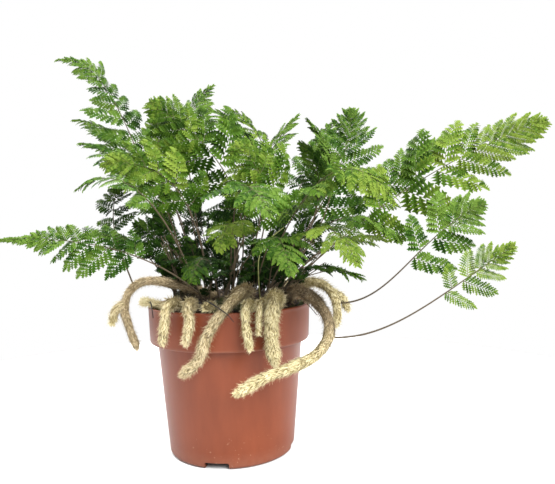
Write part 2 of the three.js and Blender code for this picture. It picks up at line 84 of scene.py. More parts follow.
# %% A socket that takes part in arithmetic
class Wire:
    """An output socket of a material's node tree."""

    def __init__(self, tree, socket=None):
        self.tree = tree
        self.socket = socket

    def node(self, kind, settings=None, sockets=None, out=0):
        """Adds a node: its settings first, then a value or a link for each socket named."""
        made = self.tree.nodes.new(kind)
        for name, value in (settings or {}).items():
            setattr(made, name, value)
        for name, value in (sockets or {}).items():
            if isinstance(value, Wire):
                self.tree.links.new(value.socket, made.inputs[name])
            else:
                made.inputs[name].default_value = value
        return Wire(self.tree, made.outputs[out] if len(made.outputs) else None)

    def math(self, operation, first, second):
        return self.node("ShaderNodeMath", {"operation": operation}, {0: first, 1: second})

    def tint(self, first, second):
        """Mixes two colours by this socket's value."""
        settings = {"data_type": "RGBA"}
        return self.node("ShaderNodeMix", settings, {0: self, 6: first, 7: second}, out=2)

    def __add__(self, other):
        return self.math("ADD", self, other)

    def __sub__(self, other):
        return self.math("SUBTRACT", self, other)

    def __rsub__(self, other):
        return self.math("SUBTRACT", other, self)

    def __mul__(self, other):
        return self.math("MULTIPLY", self, other)

    def __gt__(self, other):
        return self.math("GREATER_THAN", self, other)

    __radd__ = __add__
    __rmul__ = __mul__


def ramp(place, *stops):
    """A colour ramp read at a place from 0 to 1. Each stop is a place and its colour."""
    colored = place.node("ShaderNodeValToRGB", {}, {0: place})
    elements = colored.socket.node.color_ramp.elements
    while len(elements) > 1:
        elements.remove(elements[-1])
    elements[0].position, elements[0].color = stops[0]
    for at, color in stops[1:]:
        elements.new(at).color = color
    return colored


def read_marks(start, *names):
    """The marks that the points of a drawing carry."""
    return [start.node("ShaderNodeAttribute", {"attribute_name": name}, out=2) for name in names]


def new_material(name):
    """A material with an empty tree, and a Wire to start its nodes from."""
    material = bpy.data.materials.new(name)
    material.use_nodes = True
    material.node_tree.nodes.clear()
    return material, Wire(material.node_tree)


def surface(start, **sockets):
    """Ends a material in one Principled shader. Underscores in the names stand for spaces."""
    named = {name.replace("_", " "): value for name, value in sockets.items()}
    shader = start.node("ShaderNodeBsdfPrincipled", {}, named)
    start.node("ShaderNodeOutputMaterial", {}, {"Surface": shader})


def noise(start, scale, detail, place=None):
    """A noise from 0 to 1 in the object's own metres."""
    if place is None:
        place = start.node("ShaderNodeTexCoord", out=3)
    sockets = {"Vector": place, "Scale": scale, "Detail": detail, "Roughness": 0.55}
    return start.node("ShaderNodeTexNoise", {}, sockets)


print("shader helpers are ready")

# %% [markdown]
# ## The stage
# The plant was photographed in a bright white surround. A white world gives that: it lights the plant
# from all sides and puts pale reflections on the edges of the pot. Alone it would leave the plant flat,
# so a large soft lamp in front and to the right models the pot, a wider one overhead lights the tops of
# the leaves and leaves the heart of the plant dark, and a weak one keeps the back readable. The floor is
# a plain disc a hair below the pot. Its grey is chosen so that under these lamps it is just white: any
# brighter, and the light round the fine leaflets would swallow them. The standard view transform keeps
# that white.

# %% Light the plant
FLOOR_RADIUS = 0.45
FLOOR_SIDES = 96
FLOOR_GREY = 0.60
FLOOR_DROP = 0.0002
PLANT_MIDDLE = Vector((0.03, 0, 0.15))


def polar(radius, angle):
    """The x and y of a point at a distance and an angle."""
    return radius * math.cos(angle), radius * math.sin(angle)


def circle(radius, sides):
    """Evenly spread points on a circle, each an x and a y."""
    return [polar(radius, 2 * math.pi * k / sides) for k in range(sides)]


def add_floor():
    material, start = new_material("floor_white")
    surface(start, Base_Color=(FLOOR_GREY, FLOOR_GREY, FLOOR_GREY, 1), Roughness=0.9)
    edge = [(x, y, 0) for x, y in circle(FLOOR_RADIUS, FLOOR_SIDES)]
    mesh = bpy.data.meshes.new("floor")
    mesh.from_pydata(edge, [], [tuple(range(FLOOR_SIDES))])
    mesh.materials.append(material)
    floor = bpy.data.objects.new("floor", mesh)
    floor.location.z = -FLOOR_DROP
    bpy.context.scene.collection.objects.link(floor)


def add_lamp(name, place, size, watts):
    lamp = bpy.data.objects.new(name, bpy.data.lights.new(name, "AREA"))
    lamp.data.size = size
    lamp.data.energy = watts
    lamp.location = place
    lamp.rotation_euler = (PLANT_MIDDLE - lamp.location).to_track_quat("-Z", "Y").to_euler()
    bpy.context.scene.collection.objects.link(lamp)


add_floor()
add_lamp("key_lamp", (0.8, -1.1, 1.2), 1.1, 82)
add_lamp("top_lamp", (-0.3, -0.2, 1.8), 1.3, 74)
add_lamp("back_lamp", (-0.8, 1.1, 1.0), 1.2, 34)
world = bpy.data.worlds.new("white_surround")
world.use_nodes = True
background = world.node_tree.nodes["Background"].inputs
background["Color"].default_value = (1, 1, 1, 1)
background["Strength"].default_value = 1.0
bpy.context.scene.world = world
bpy.context.scene.view_settings.view_transform = "Standard"
print("stage set with", len([o for o in bpy.data.objects if o.type == "LIGHT"]), "lamps")

# %% [markdown]
# ## From flat drawing to bent leaf
# A fern frond is thin and nearly flat, but the stalk that carries it bends, and the blade turns with it.
# It is far easier to draw the whole frond flat, with its rib along x, and to bend the drawing along the
# frond's path afterwards. Each point has an x along the path, a y to its side and a z above its face.
# A `Path` keeps the middle line and the two directions, sampled closely.

# %% A path that flat drawings are bent along
class Path:
    """A middle line in space, with a side and a face direction at each distance along it."""

    def __init__(self, points, side_near):
        self.points = points
        steps = np.linalg.norm(np.diff(points, axis=0), axis=1)
        self.places = np.concatenate([[0], np.cumsum(steps)])
        self.length = self.places[-1]
        self.along = unit(np.gradient(points, self.places, axis=0))
        self.side = unit(side_near(self.along))
        self.face = np.cross(self.along, self.side)

    def roll(self, angle):
        """Turns the side and the face about the middle line."""
        side = self.side * math.cos(angle) + self.face * math.sin(angle)
        self.face = self.face * math.cos(angle) - self.side * math.sin(angle)
        self.side = side

    def bend(self, flat):
        """Takes points of a flat drawing to their places in space."""
        x, y, z = np.asarray(flat, dtype=float).T
        inside = np.clip(x, 0, self.length)

        def at(values):
            return np.stack([np.interp(inside, self.places, values[:, k]) for k in range(3)], axis=1)

        bent = at(self.points) + at(self.side) * y[:, None] + at(self.face) * z[:, None]
        return bent + at(self.along) * (x - inside)[:, None]


def unit(vectors):
    return vectors / np.linalg.norm(vectors, axis=-1, keepdims=True)


print("paths are ready")

# %% [markdown]
# ## What every drawing needs
# A `Drawing` collects points and faces in millimetres. Each point also carries three marks that the leaf
# material reads: `rib`, which is 1 on a vein and 0 at a leaflet's edge, `tone`, which makes one leaflet
# lighter than the next and on the fronds also carries painted shade, and `wood`, which is 1 on a brown
# stalk and fades out along the ribs. Stems, the ground and the cushions of moss are all rings of points
# with a skin between them, so one function makes their faces.

# %% A drawing made of stems and small faces
UP = np.array([0.0, 0.0, 1.0])
STEM_RIB = 0.6


def shifted(faces, first):
    """The same faces for points that come after others."""
    return [tuple(first + corner for corner in face) for face in faces]


def fan(middle, first, sides):
    """Three-sided faces from one point to a ring of points."""
    return [(middle, first + k, first + (k + 1) % sides) for k in range(sides)]


def ring_faces(rings, sides, first=0, flipped=False):
    """Four-sided faces between rings of points. flipped makes them look the other way."""
    faces = []
    for i in range(rings - 1):
        for k in range(sides):
            here, there = first + i * sides + k, first + i * sides + (k + 1) % sides
            face = (here, there, there + sides, here + sides)
            faces.append(face[:1] + face[:0:-1] if flipped else face)
    return faces


def tube_faces(rings, sides):
    """The faces of a tube with both ends closed."""
    ends = [tuple(reversed(range(sides))), tuple(range((rings - 1) * sides, rings * sides))]
    return ring_faces(rings, sides) + ends


class Drawing:
    """Points and faces in millimetres, with the marks that a material reads."""

    def __init__(self):
        self.points = []
        self.faces = []
        self.marks = {"rib": [], "tone": [], "wood": []}

    def add(self, points, faces, rib, tone, wood):
        """Adds points and the faces between them. A mark is one number, or one for each point."""
        self.faces += shifted(faces, len(self.points))
        self.points += points
        for name, value in (("rib", rib), ("tone", tone), ("wood", wood)):
            self.marks[name] += list(value) if hasattr(value, "__len__") else [value] * len(points)

    def stem(self, centers, radii, across, up, sides, tone, wood):
        """A thin round stem through centers. across and up span its cross-section."""
        points = []
        for center, radius in zip(centers, radii):
            for x, y in circle(radius, sides):
                points.append(tuple(center + (across * x + up * y)))
        woods = [value for value in wood for _ in range(sides)]
        self.add(points, tube_faces(len(centers), sides), STEM_RIB, tone, woods)


def add_piece(name, points, faces, material, node, slot, marks=None, smooth=True):
    """Makes a mesh from points in millimetres, and puts it in the place of a solid node."""
    mesh = bpy.data.meshes.new(name)
    mesh.from_pydata((np.asarray(points, dtype=float) * MM).tolist(), [], faces)
    for mark, values in (marks or {}).items():
        mesh.attributes.new(mark, "FLOAT", "POINT").data.foreach_set("value", values)
    mesh.materials.append(material)
    if smooth:
        mesh.shade_smooth()
    piece = bpy.data.objects.new(name, mesh)
    bpy.context.scene.collection.objects.link(piece)
    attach(piece, "root")
    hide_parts(node)


print("drawings are ready")

# %% [markdown]
# ## Where the fronds stand
# These are the same curves as in the solids: the green that goes with the frond's age, then a root, two
# handles and a tip in millimetres, the share of the frond that is bare stalk, the width of its blade, and
# the angle that rolls the blade about its rib. A root with no height stands in the potting mix.

# %% List the fronds
Frond = namedtuple("Frond", "name color root rise arch tip bare width turn")
FRONDS = [Frond("frond_" + name, *shape) for name, *shape in (
    ("left_top", "green", (-31, 8), (-60, 14, 183), (-84, 16, 306), (-132, 16, 298), 0.57, 58, -50),
    ("left_high", "green", (-36, 20), (-54, 48, 183), (-87, 62, 257), (-138, 60, 261), 0.55, 58, -35),
    ("left_inner", "bright", (-22, 17), (-38, 34, 174), (-67, 42, 216), (-60, 44, 266), 0.6, 46, 80),
    ("left_middle", "green", (-31, -9), (-32, -12, 173), (-54, -16, 221), (-106, -12, 227), 0.52, 56, -12),
    ("left_front", "bright", (-15, -18), (-11, -34, 167), (-28, -44, 215), (-78, -47, 206), 0.5, 60, -70),
    ("left_lower", "green", (-12, -37), (-26, -64, 162), (-50, -78, 212), (-84, -80, 186), 0.6, 42, -14),
    ("far_left", "green", (-3, -38), (-25, -58, 138), (-69, -66, 161), (-145, -58, 157), 0.42, 60, -55),
    ("left_foot", "dark", (-64, -31, 124), (-74, -28, 150), (-86, -22, 168), (-82, 2, 198), 0.5, 40, 0),
    ("top_left", "green", (-13, 15), (-34, 35, 188), (-52, 58, 263), (-17, 70, 291), 0.64, 48, 45),
    ("top_left_back", "dark", (-20, 24), (-38, 60, 198), (-66, 92, 262), (-62, 112, 282), 0.6, 54, 0),
    ("broad_left", "bright", (3, -8), (26, -16, 172), (5, -18, 219), (-54, -16, 255), 0.45, 84, -76),
    ("middle_top", "green", (7, 12), (44, 25, 185), (33, 38, 237), (-20, 44, 266), 0.6, 58, -15),
    ("middle_back", "bright", (11, 26), (50, 60, 187), (40, 90, 248), (-9, 104, 281), 0.6, 60, -20),
    ("middle_right", "green", (0, 3), (9, 8, 181), (27, 14, 222), (55, 10, 249), 0.58, 46, 35),
    ("middle_broad", "bright", (8, -13), (22, -34, 159), (43, -44, 198), (9, -42, 218), 0.5, 66, -72),
    ("middle_yellow", "bright", (4, -31), (12, -52, 160), (10, -78, 181), (4, -99, 148), 0.52, 40, 0),
    ("middle_low", "dark", (-3, -33), (-5, -52, 138), (-8, -68, 158), (-14, -88, 130), 0.5, 38, 0),
    ("middle_front", "green", (1, -22), (8, -48, 170), (11, -85, 211), (34, -124, 166), 0.5, 62, 0),
    ("right_curled", "green", (20, 0), (80, -6, 156), (94, -6, 206), (61, -4, 243), 0.58, 48, 0),
    ("right_curled_low", "green", (24, -8), (68, -16, 156), (80, -22, 199), (54, -25, 222), 0.6, 42, 20),
    ("right_top_back", "green", (17, 20), (48, 40, 186), (74, 60, 232), (91, 82, 260), 0.52, 66, 10),
    ("far_right", "bright", (27, -2), (87, -5, 156), (138, -15, 205), (229, -25, 233), 0.38, 82, 68),
    ("right_back", "green", (32, 8), (91, 26, 156), (133, 40, 213), (191, 48, 240), 0.42, 76, 60),
    ("right_top", "green", (24, 8), (67, 18, 172), (98, 22, 212), (99, 28, 258), 0.48, 70, 0),
    ("right_front", "bright", (20, -14), (42, -64, 172), (74, -88, 226), (102, -108, 172), 0.45, 74, 10),
    ("middle_low_right", "green", (17, -24), (31, -46, 160), (38, -80, 170), (44, -104, 134), 0.52, 40, 0),
    ("right_front_low", "bright", (23, -26), (48, -50, 166), (70, -84, 176), (81, -108, 138), 0.54, 44, 0),
    ("right_small", "green", (29, -13), (62, -34, 176), (92, -54, 180), (114, -68, 150), 0.58, 42, 0),
    ("right_small_low", "dark", (31, -24), (44, -46, 142), (64, -62, 140), (90, -72, 128), 0.52, 40, 0),
    ("right_foot", "green", (77, -25, 108), (113, -42, 106), (128, -50, 155), (172, -56, 174), 0.5, 64, 74),
    ("loop_foot", "bright", (67, -69, 92), (106, -62, 86), (140, -68, 118), (180, -80, 147), 0.6, 42, 66),
    ("inner_left", "dark", (-32, 29), (-38, 37, 134), (-45, 44, 158), (-68, 50, 174), 0.46, 56, 78),
    ("inner_left_middle", "dark", (-17, 33), (-18, 39, 134), (-25, 44, 160), (-33, 55, 192), 0.46, 58, 84),
    ("inner_middle", "green", (4, 32), (2, 40, 136), (8, 46, 164), (-4, 48, 188), 0.46, 58, 86),
    ("inner_right_middle", "dark", (19, 39), (26, 48, 134), (35, 39, 172), (44, 54, 189), 0.46, 58, -61),
    ("inner_right", "dark", (28, 21), (39, 31, 128), (50, 39, 159), (73, 51, 164), 0.46, 56, -83),
    ("inner_front_left", "green", (-23, -8), (-31, -6, 139), (-44, 3, 156), (-72, 5, 167), 0.46, 44, 72),
    ("back_left_high", "green", (-22, 22), (-42, 62, 176), (-66, 98, 216), (-98, 128, 206), 0.5, 68, 0),
    ("back_left_low", "green", (-36, 6), (-66, 26, 150), (-96, 44, 172), (-132, 60, 158), 0.45, 62, 0),
    ("back_middle", "dark", (-6, 28), (-12, 66, 165), (-12, 104, 196), (-16, 150, 172), 0.45, 68, 0),
    ("back_right_high", "green", (22, 27), (44, 70, 180), (66, 104, 214), (92, 138, 196), 0.5, 66, 0),
    ("back_right_low", "bright", (31, 19), (66, 44, 146), (100, 70, 164), (138, 92, 150), 0.45, 62, 0),
)]
print(len(FRONDS), "fronds")

# %% [markdown]
# ## What sets single fronds apart
# All blades start from one form, and the photograph shows where single ones differ. `breadth` is the
# width against the solid's, `taper` is above 0.85 where a blade narrows sooner, `waist` is a stretch of
# short pinnae, `spacing` is the room of the lowest pinnae as a share of their reach, and `tone` makes a
# frond paler or darker than its kind.

# %% Fit single fronds
ROOM_AT_FOOT = 0.54
Fit = namedtuple("Fit", "breadth taper waist spacing tone", defaults=(1.0, 0.85, (0, 0), ROOM_AT_FOOT, 0.0))
FITS = {
    "frond_left_top": Fit(breadth=0.95, taper=1.0, waist=(0.3, 0.56), tone=-0.06),
    "frond_left_high": Fit(breadth=0.8, spacing=0.66),
    "frond_left_inner": Fit(tone=-0.08),
    "frond_left_middle": Fit(tone=-0.1),
    "frond_left_front": Fit(tone=0.02),
    "frond_far_left": Fit(breadth=0.78, taper=1.4, tone=0.14),
    "frond_broad_left": Fit(tone=-0.14),
    "frond_middle_back": Fit(tone=-0.12),
    "frond_middle_broad": Fit(tone=-0.08),
    "frond_middle_yellow": Fit(spacing=0.76, tone=0.12),
    "frond_middle_low": Fit(spacing=0.76),
    "frond_middle_front": Fit(spacing=0.66),
    "frond_right_curled": Fit(spacing=0.68),
    "frond_right_curled_low": Fit(spacing=0.68),
    "frond_far_right": Fit(taper=0.68, spacing=0.84, tone=-0.04),
    "frond_right_back": Fit(breadth=0.64, spacing=0.92, tone=-0.02),
    "frond_right_top": Fit(breadth=1.1),
    "frond_right_front": Fit(spacing=0.66),
    "frond_middle_low_right": Fit(spacing=0.76),
    "frond_right_front_low": Fit(spacing=0.76, tone=0.06),
    "frond_right_small": Fit(spacing=0.7),
    "frond_right_foot": Fit(breadth=0.86, spacing=0.66, tone=0.06),
    "frond_loop_foot": Fit(breadth=0.86, spacing=0.66, tone=-0.06),
}
print(len(FITS), "fronds differ from the common form or tone")

# %% [markdown]
# ## One frond's path
# The path is a cubic curve. The blade's side starts level, at right angles to the way the frond leans
# at its tip, and is then rolled by the frond's own angle. A stalk that stands in the mix starts a little
# under the dome of the mix, and one that grows from a rhizome starts where its root says.

# %% Build a frond's path
PLANTING_DEPTH = 9
SHOULDER_RADIUS = 48
SHOULDER_HEIGHT = 108
CROWN_HEIGHT = 115.5
MIX_EDGE_RADIUS = 57.7
MIX_EDGE_HEIGHT = 100
PATH_POINTS = 201


def mix_height(radius):
    """Height of the potting mix at a distance from the middle, in millimetres."""
    share = np.clip(radius / SHOULDER_RADIUS, 0, 1)
    dome = CROWN_HEIGHT + (SHOULDER_HEIGHT - CROWN_HEIGHT) * share**2
    fall = np.clip((radius - SHOULDER_RADIUS) / (MIX_EDGE_RADIUS - SHOULDER_RADIUS), 0, 1)
    return dome + (MIX_EDGE_HEIGHT - SHOULDER_HEIGHT) * fall


def frond_path(frond):
    x, y, *height = frond.root
    foot = (x, y, height[0] if height else mix_height(math.hypot(x, y)) - PLANTING_DEPTH)
    a, b, c, d = (np.array(corner, dtype=float) for corner in (foot, frond.rise, frond.arch, frond.tip))
    t = np.linspace(0, 1, PATH_POINTS)[:, None]
    points = a * (1 - t) ** 3 + b * 3 * (1 - t) ** 2 * t + c * 3 * (1 - t) * t**2 + d * t**3
    level = unit(np.array([c[1] - d[1], d[0] - c[0], 0]))
    path = Path(points, lambda along: level - (along @ level)[:, None] * along)
    path.roll(math.radians(frond.turn))
    return path


print("longest frond:", round(max(frond_path(f).length for f in FRONDS)), "mm")

# %% [markdown]
# ## The smallest leaflet
# A hare's-foot fern is cut three times: the blade into long pinnae, each pinna into leaflets, and each
# leaflet into blunt lobes. A leaflet is narrow where it joins its rib and broad further out, which leaves
# the small gaps along the ribs that make the blade look like lace. It is modelled as two strips of faces,
# one on each side of its midrib, folded up a little so that they catch the light. Its outline is a short
# list of places along it and widths there. A leaflet over 5 mm long has four lobes on each side, and one
# under 2.6 mm only two.

# %% Draw a lobed leaflet
FOUR_LOBES = [(0, 0.2), (0.1, 0.3), (0.2, 1.0), (0.28, 0.3), (0.42, 1.3), (0.5, 0.32), (0.63, 1.2),
              (0.71, 0.3), (0.83, 0.85), (0.89, 0.3), (1, 0.1)]
THREE_LOBES = [(0, 0.4), (0.15, 0.45), (0.33, 1.25), (0.45, 0.38), (0.64, 1.2), (0.75, 0.36), (0.88, 0.6),
               (1, 0.1)]
TWO_LOBES = [(0, 0.8), (0.4, 1.1), (0.6, 0.7), (0.8, 0.8), (1, 0.1)]
OUTLINES = [(5.0, FOUR_LOBES), (2.6, THREE_LOBES), (0.0, TWO_LOBES)]
FOLD = 0.38
LEAFLET_SAG = 0.14
LOBE_LEAN = 0.13


def add_leaflet(drawing, root, along, across, up, length, width, tone):
    """A flat leaflet with blunt lobes that lean forwards, folded along its midrib."""
    outline = next(points for least, points in OUTLINES if length > least)
    points = []
    for out, wide in outline:
        middle = root + along * (length * out) - up * (LEAFLET_SAG * length * out * out)
        reach = across * (0.5 * width * wide)
        lift = up * (FOLD * 0.5 * width * wide * wide)
        lean = along * (LOBE_LEAN * length * wide * (1 - out))
        points += [tuple(middle), tuple(middle + reach + lift + lean), tuple(middle - reach + lift + lean)]
    faces = []
    for i in range(0, len(points) - 3, 3):
        faces.append((i, i + 3, i + 4, i + 1))
        faces.append((i, i + 2, i + 5, i + 3))
    drawing.add(points, faces, [1.0, 0.0, 0.0] * len(outline), tone, 0.0)


# %% [markdown]
# ## A pinna
# A pinna is a small feather, broadest near its foot: a thin rib that curves towards the frond's tip, with
# leaflets left and right in turn. It is tipped about its own rib and sags at its end, each one a little
# differently, because a perfectly flat frond looks like paper. Its leaflets stand off widely near its
# foot and point forwards at its tip.

# %% Draw a pinna
LEAST_STEP = 1.15
LEAST_LEAFLET = 1.2
OPENING_AT_FOOT = 67
OPENING_CLOSES_BY = 28
LEAFLET_PLACES = ((1, 0.7), (-1, 0.2))
ROLL_SPREAD = 0.45
TWIST_SPREAD = 0.5
SHADE_SPREAD = 0.25
TIP_SAG = 0.36
RIB_RADIUS = 0.3
RIB_THINS_BY = 0.18


def add_pinna(drawing, start, hand, lean, length, half_width, cut, fullness, tone, chance):
    """One pinna. hand is 1 or -1 for its side of the rib, lean its angle from the rib in radians.

    cut is the distance between two leaflets as a share of the pinna's half width, and fullness the
    width of a leaflet as a share of the room between its neighbours.
    """
    tip_roll = chance.uniform(-ROLL_SPREAD, ROLL_SPREAD)
    rise = chance.uniform(-0.16, 0.26)
    curve = chance.uniform(0.1, 0.4)
    step = max(LEAST_STEP, cut * half_width)
    count = max(3, round(0.94 * length / step))
    centers, ways = [np.array([start, 0.0, 0.0])], []
    for k in range(count + 1):
        angle = lean - curve * k / count
        slope = rise - TIP_SAG * k / count
        way = unit(np.array([math.cos(angle), hand * math.sin(angle), slope]))
        ways.append(way)
        centers.append(centers[-1] + way * (length / (count + 1)))
    for k in range(1, count + 1):
        share = k / (count + 1)
        along = ways[k]
        flat = unit(np.array([hand * along[1], -hand * along[0], 0.0]))
        up = unit(np.cross(along, flat)) * -hand
        across = flat * math.cos(tip_roll) + up * math.sin(tip_roll)
        face = up * math.cos(tip_roll) - flat * math.sin(tip_roll)
        opening = math.radians(OPENING_AT_FOOT - OPENING_CLOSES_BY * share)
        wide_at = fullness * step * math.sin(opening)
        long = half_width / math.sin(opening) * min(1, 0.8 + 1.4 * share) * (1 - share) ** 0.44
        for turn, place in LEAFLET_PLACES:
            center = centers[k - 1] + (centers[k] - centers[k - 1]) * place
            out = along * math.cos(opening) + across * (turn * math.sin(opening))
            wide = along * (-turn * math.sin(opening)) + across * math.cos(opening)
            wide = unit(wide + face * chance.uniform(-TWIST_SPREAD, TWIST_SPREAD))
            normal = np.cross(out, wide)
            normal = normal if normal @ face > 0 else -normal
            size = max(LEAST_LEAFLET, long * chance.uniform(0.86, 1.12))
            shade = tone + 0.08 * share + chance.uniform(-SHADE_SPREAD, SHADE_SPREAD)
            add_leaflet(drawing, center, out, wide, normal, size, min(0.85 * size, wide_at), shade)
    add_leaflet(drawing, centers[-2], ways[-1], across, face, max(1.6, 1.7 * step), step, tone + 0.15)
    thick = [RIB_RADIUS - RIB_THINS_BY * k / (count + 1) for k in range(count + 2)]
    woods = [max(0, 0.8 - 1.3 * k / (count + 1)) for k in range(count + 2)]
    side = np.array([math.sin(lean), -hand * math.cos(lean), 0.0])
    drawing.stem(centers[::2], thick[::2], side, UP, 3, tone, woods[::2])


# %% [markdown]
# ## A whole frond
# The blade is broad for its first third and then narrows to a point. Its pinnae come nearer together and
# lean further forwards towards the tip, where they are single leaflets that close up into one toothed
# triangle. The fronds that reach out to the camera show every point, so their leaflets are finer and leave
# more air. `NEAR_CUT` and `PLAIN_CUT` hold the cut and the fullness of a pinna, and how far it fills its
# room. The sides of the blade hang down by the square of their distance from the rib, and the stalk is
# one stem from root to tip. Leaves low down in the middle of the plant get painted shade, a deeper green,
# and those far out are paler.

# %% Draw each frond
BLADE_DROOP = 0.0035
SHADE_PAINTED_BELOW = 195
ROOM_AT_TIP = 0.27
NEAR_CAMERA = -75
NEAR_CUT = (0.27, 1.3, 0.62)
PLAIN_CUT = (0.37, 1.75, 0.72)
WAIST_REACH = 0.62
LEAST_PINNA = 2.2
STALK_RADIUS = 0.62
STALK_POINTS = 40
NARROWS_OVER = 0.72
LEAST_ROOM = 1.3
LEAN_AT_FOOT = 68
LEAN_CLOSES_BY = 26
PINNA_PLACES = ((1, 0.55), (-1, 0.2))
MIDDLE_TONE = 0.57
TONE_SPREAD = 0.18
SHADE_PAINTED_INSIDE_BY = 0.44
OUTER_IS_PALER_BY = 0.17


def pinna_rows(blade, width, taper, spacing):
    """For each pair of pinnae: how far up the blade it starts, the room it has, and its reach sideways."""
    rows = []
    start = 0
    while start < blade - 1:
        share = start / blade
        reach = 0.5 * width * min(1, (1 - share) / NARROWS_OVER) ** taper
        room = LEAST_ROOM + reach * (spacing + (ROOM_AT_TIP - spacing) * min(1, 1.4 * share))
        rows.append((start, room, reach))
        start += room
    return rows


def draw_frond(frond):
    """The whole frond: its drawing, with faces and marks, and its points bent into place."""
    path = frond_path(frond)
    chance = random.Random(frond.name)
    drawing = Drawing()
    foot = path.length * frond.bare
    blade = path.length - foot
    fit = FITS.get(frond.name, Fit())
    tint = fit.tone + chance.uniform(-0.06, 0.06)
    short_from, short_to = fit.waist
    cut, fullness, spread = NEAR_CUT if frond.tip[1] < NEAR_CAMERA else PLAIN_CUT
    for start, room, side in pinna_rows(blade, frond.width * fit.breadth, fit.taper, fit.spacing):
        share = start / blade
        lean = math.radians(LEAN_AT_FOOT - LEAN_CLOSES_BY * share)
        reach = side / math.sin(lean) * (WAIST_REACH if short_from < share < short_to else 1)
        half_width = min(0.6 + spread * room * math.sin(lean), 0.6 + (0.26 + 0.25 * share) * reach)
        for hand, share_of_room in PINNA_PLACES:
            tone = MIDDLE_TONE + 0.14 * share + tint + chance.uniform(-TONE_SPREAD, TONE_SPREAD)
            place = foot + start + room * share_of_room
            long = max(LEAST_PINNA, reach * chance.uniform(0.8, 1.02))
            add_pinna(drawing, place, hand, lean, long, half_width, cut, fullness, tone, chance)
    xs = np.linspace(0, path.length, STALK_POINTS)
    centers = [np.array([x, 0.0, 0.0]) for x in xs]
    radii = [STALK_RADIUS - 0.16 * min(1, x / foot) - 0.3 * max(0, x - foot) / blade for x in xs]
    woods = [1.0 if x < foot else max(0.3, 1 - 0.8 * (x - foot) / blade) for x in xs]
    drawing.stem(centers, radii, np.array([0.0, 1.0, 0.0]), UP, 6, 0.5, woods)
    flat = np.array(drawing.points)
    flat[:, 2] -= BLADE_DROOP * flat[:, 1] ** 2
    points = path.bend(flat)
    # Painted shade: leaflets low down in the middle of the plant get a lower tone, and those far out a paler
    # one.
    from_middle = np.hypot(points[:, 0], points[:, 1])
    low = np.clip((SHADE_PAINTED_BELOW - points[:, 2]) / 70, 0, 1)
    inside = np.clip((110 - from_middle) / 60, 0, 1)
    outside = np.clip((from_middle - 80) / 90, 0, 1)
    tones = np.array(drawing.marks["tone"]) - SHADE_PAINTED_INSIDE_BY * low * inside + OUTER_IS_PALER_BY * outside
    drawing.marks["tone"] = tones.tolist()
    return drawing, points


# %% [markdown]
# ## The leaf finish
# A young blade is a light yellow-green and an old one a deep green, and each leaflet differs a little
# from its neighbours. Each leaflet gets painted shade in the fold along its vein and is paler at its edge,
# which gives the blade its fine grain, and the stalk is a dull brown. One material for each age reads the
# three marks: a colour ramp turns `tone` into green, `rib` moves it towards the dark end of the ramp as
# painted shade, and `wood` blends in the stalk. The surface is satin, so its roughness is about a half.

# %% Make the leaf materials
GREENS = {
    "green": ((0.0036, 0.0135, 0.0012, 1), (0.0190, 0.054, 0.0040, 1), (0.066, 0.115, 0.0160, 1)),
    "bright": ((0.0080, 0.0230, 0.0012, 1), (0.032, 0.071, 0.0050, 1), (0.096, 0.140, 0.0180, 1)),
    "dark": ((0.0022, 0.0082, 0.0009, 1), (0.0105, 0.030, 0.0022, 1), (0.031, 0.062, 0.0044, 1)),
}
STALK_BROWN = (0.060, 0.046, 0.030, 1)


def leaf_material(color):
    material, start = new_material("leaf_" + color)
    rib, tone, wood = read_marks(start, "rib", "tone", "wood")
    patches = noise(start, 90, 2)
    low, middle, high = GREENS[color]
    # Painted shade: the rib term darkens each leaflet towards its vein and lightens its edge.
    shade = tone + (patches - 0.5) * 0.5 - (rib - 0.35) * 0.28
    tissue = ramp(shade, (0.15, low), (0.5, middle), (0.85, high))
    surface(start, Base_Color=wood.tint(tissue, STALK_BROWN), Roughness=0.52 + wood * 0.15,
            Specular_IOR_Level=0.04)
    return material


LEAVES = {color: leaf_material(color) for color in GREENS}

# %% Put the fronds in place
leaf_faces = 0
for frond in FRONDS:
    drawing, points = draw_frond(frond)
    add_piece(frond.name + "_fine", points, drawing.faces, LEAVES[frond.color], frond.name,
              "frond_" + frond.color, drawing.marks, smooth=False)
    leaf_faces += len(drawing.faces)
print("faces in all fronds:", leaf_faces)

# %% [markdown]
# ## The furry feet
# The rhizomes give the plant its name. Each is a thick stem packed in thin papery scales that all point to
# its growing tip, cream where they are young and brown where they are old. A displaced tube would show
# lumps and no fur, and a particle system can't be exported, so every scale is modelled: thousands of
# narrow blades of five points each, set over a lumpy stem. The middle lines are those of the solids, and
# two of the feet carry a short branch.

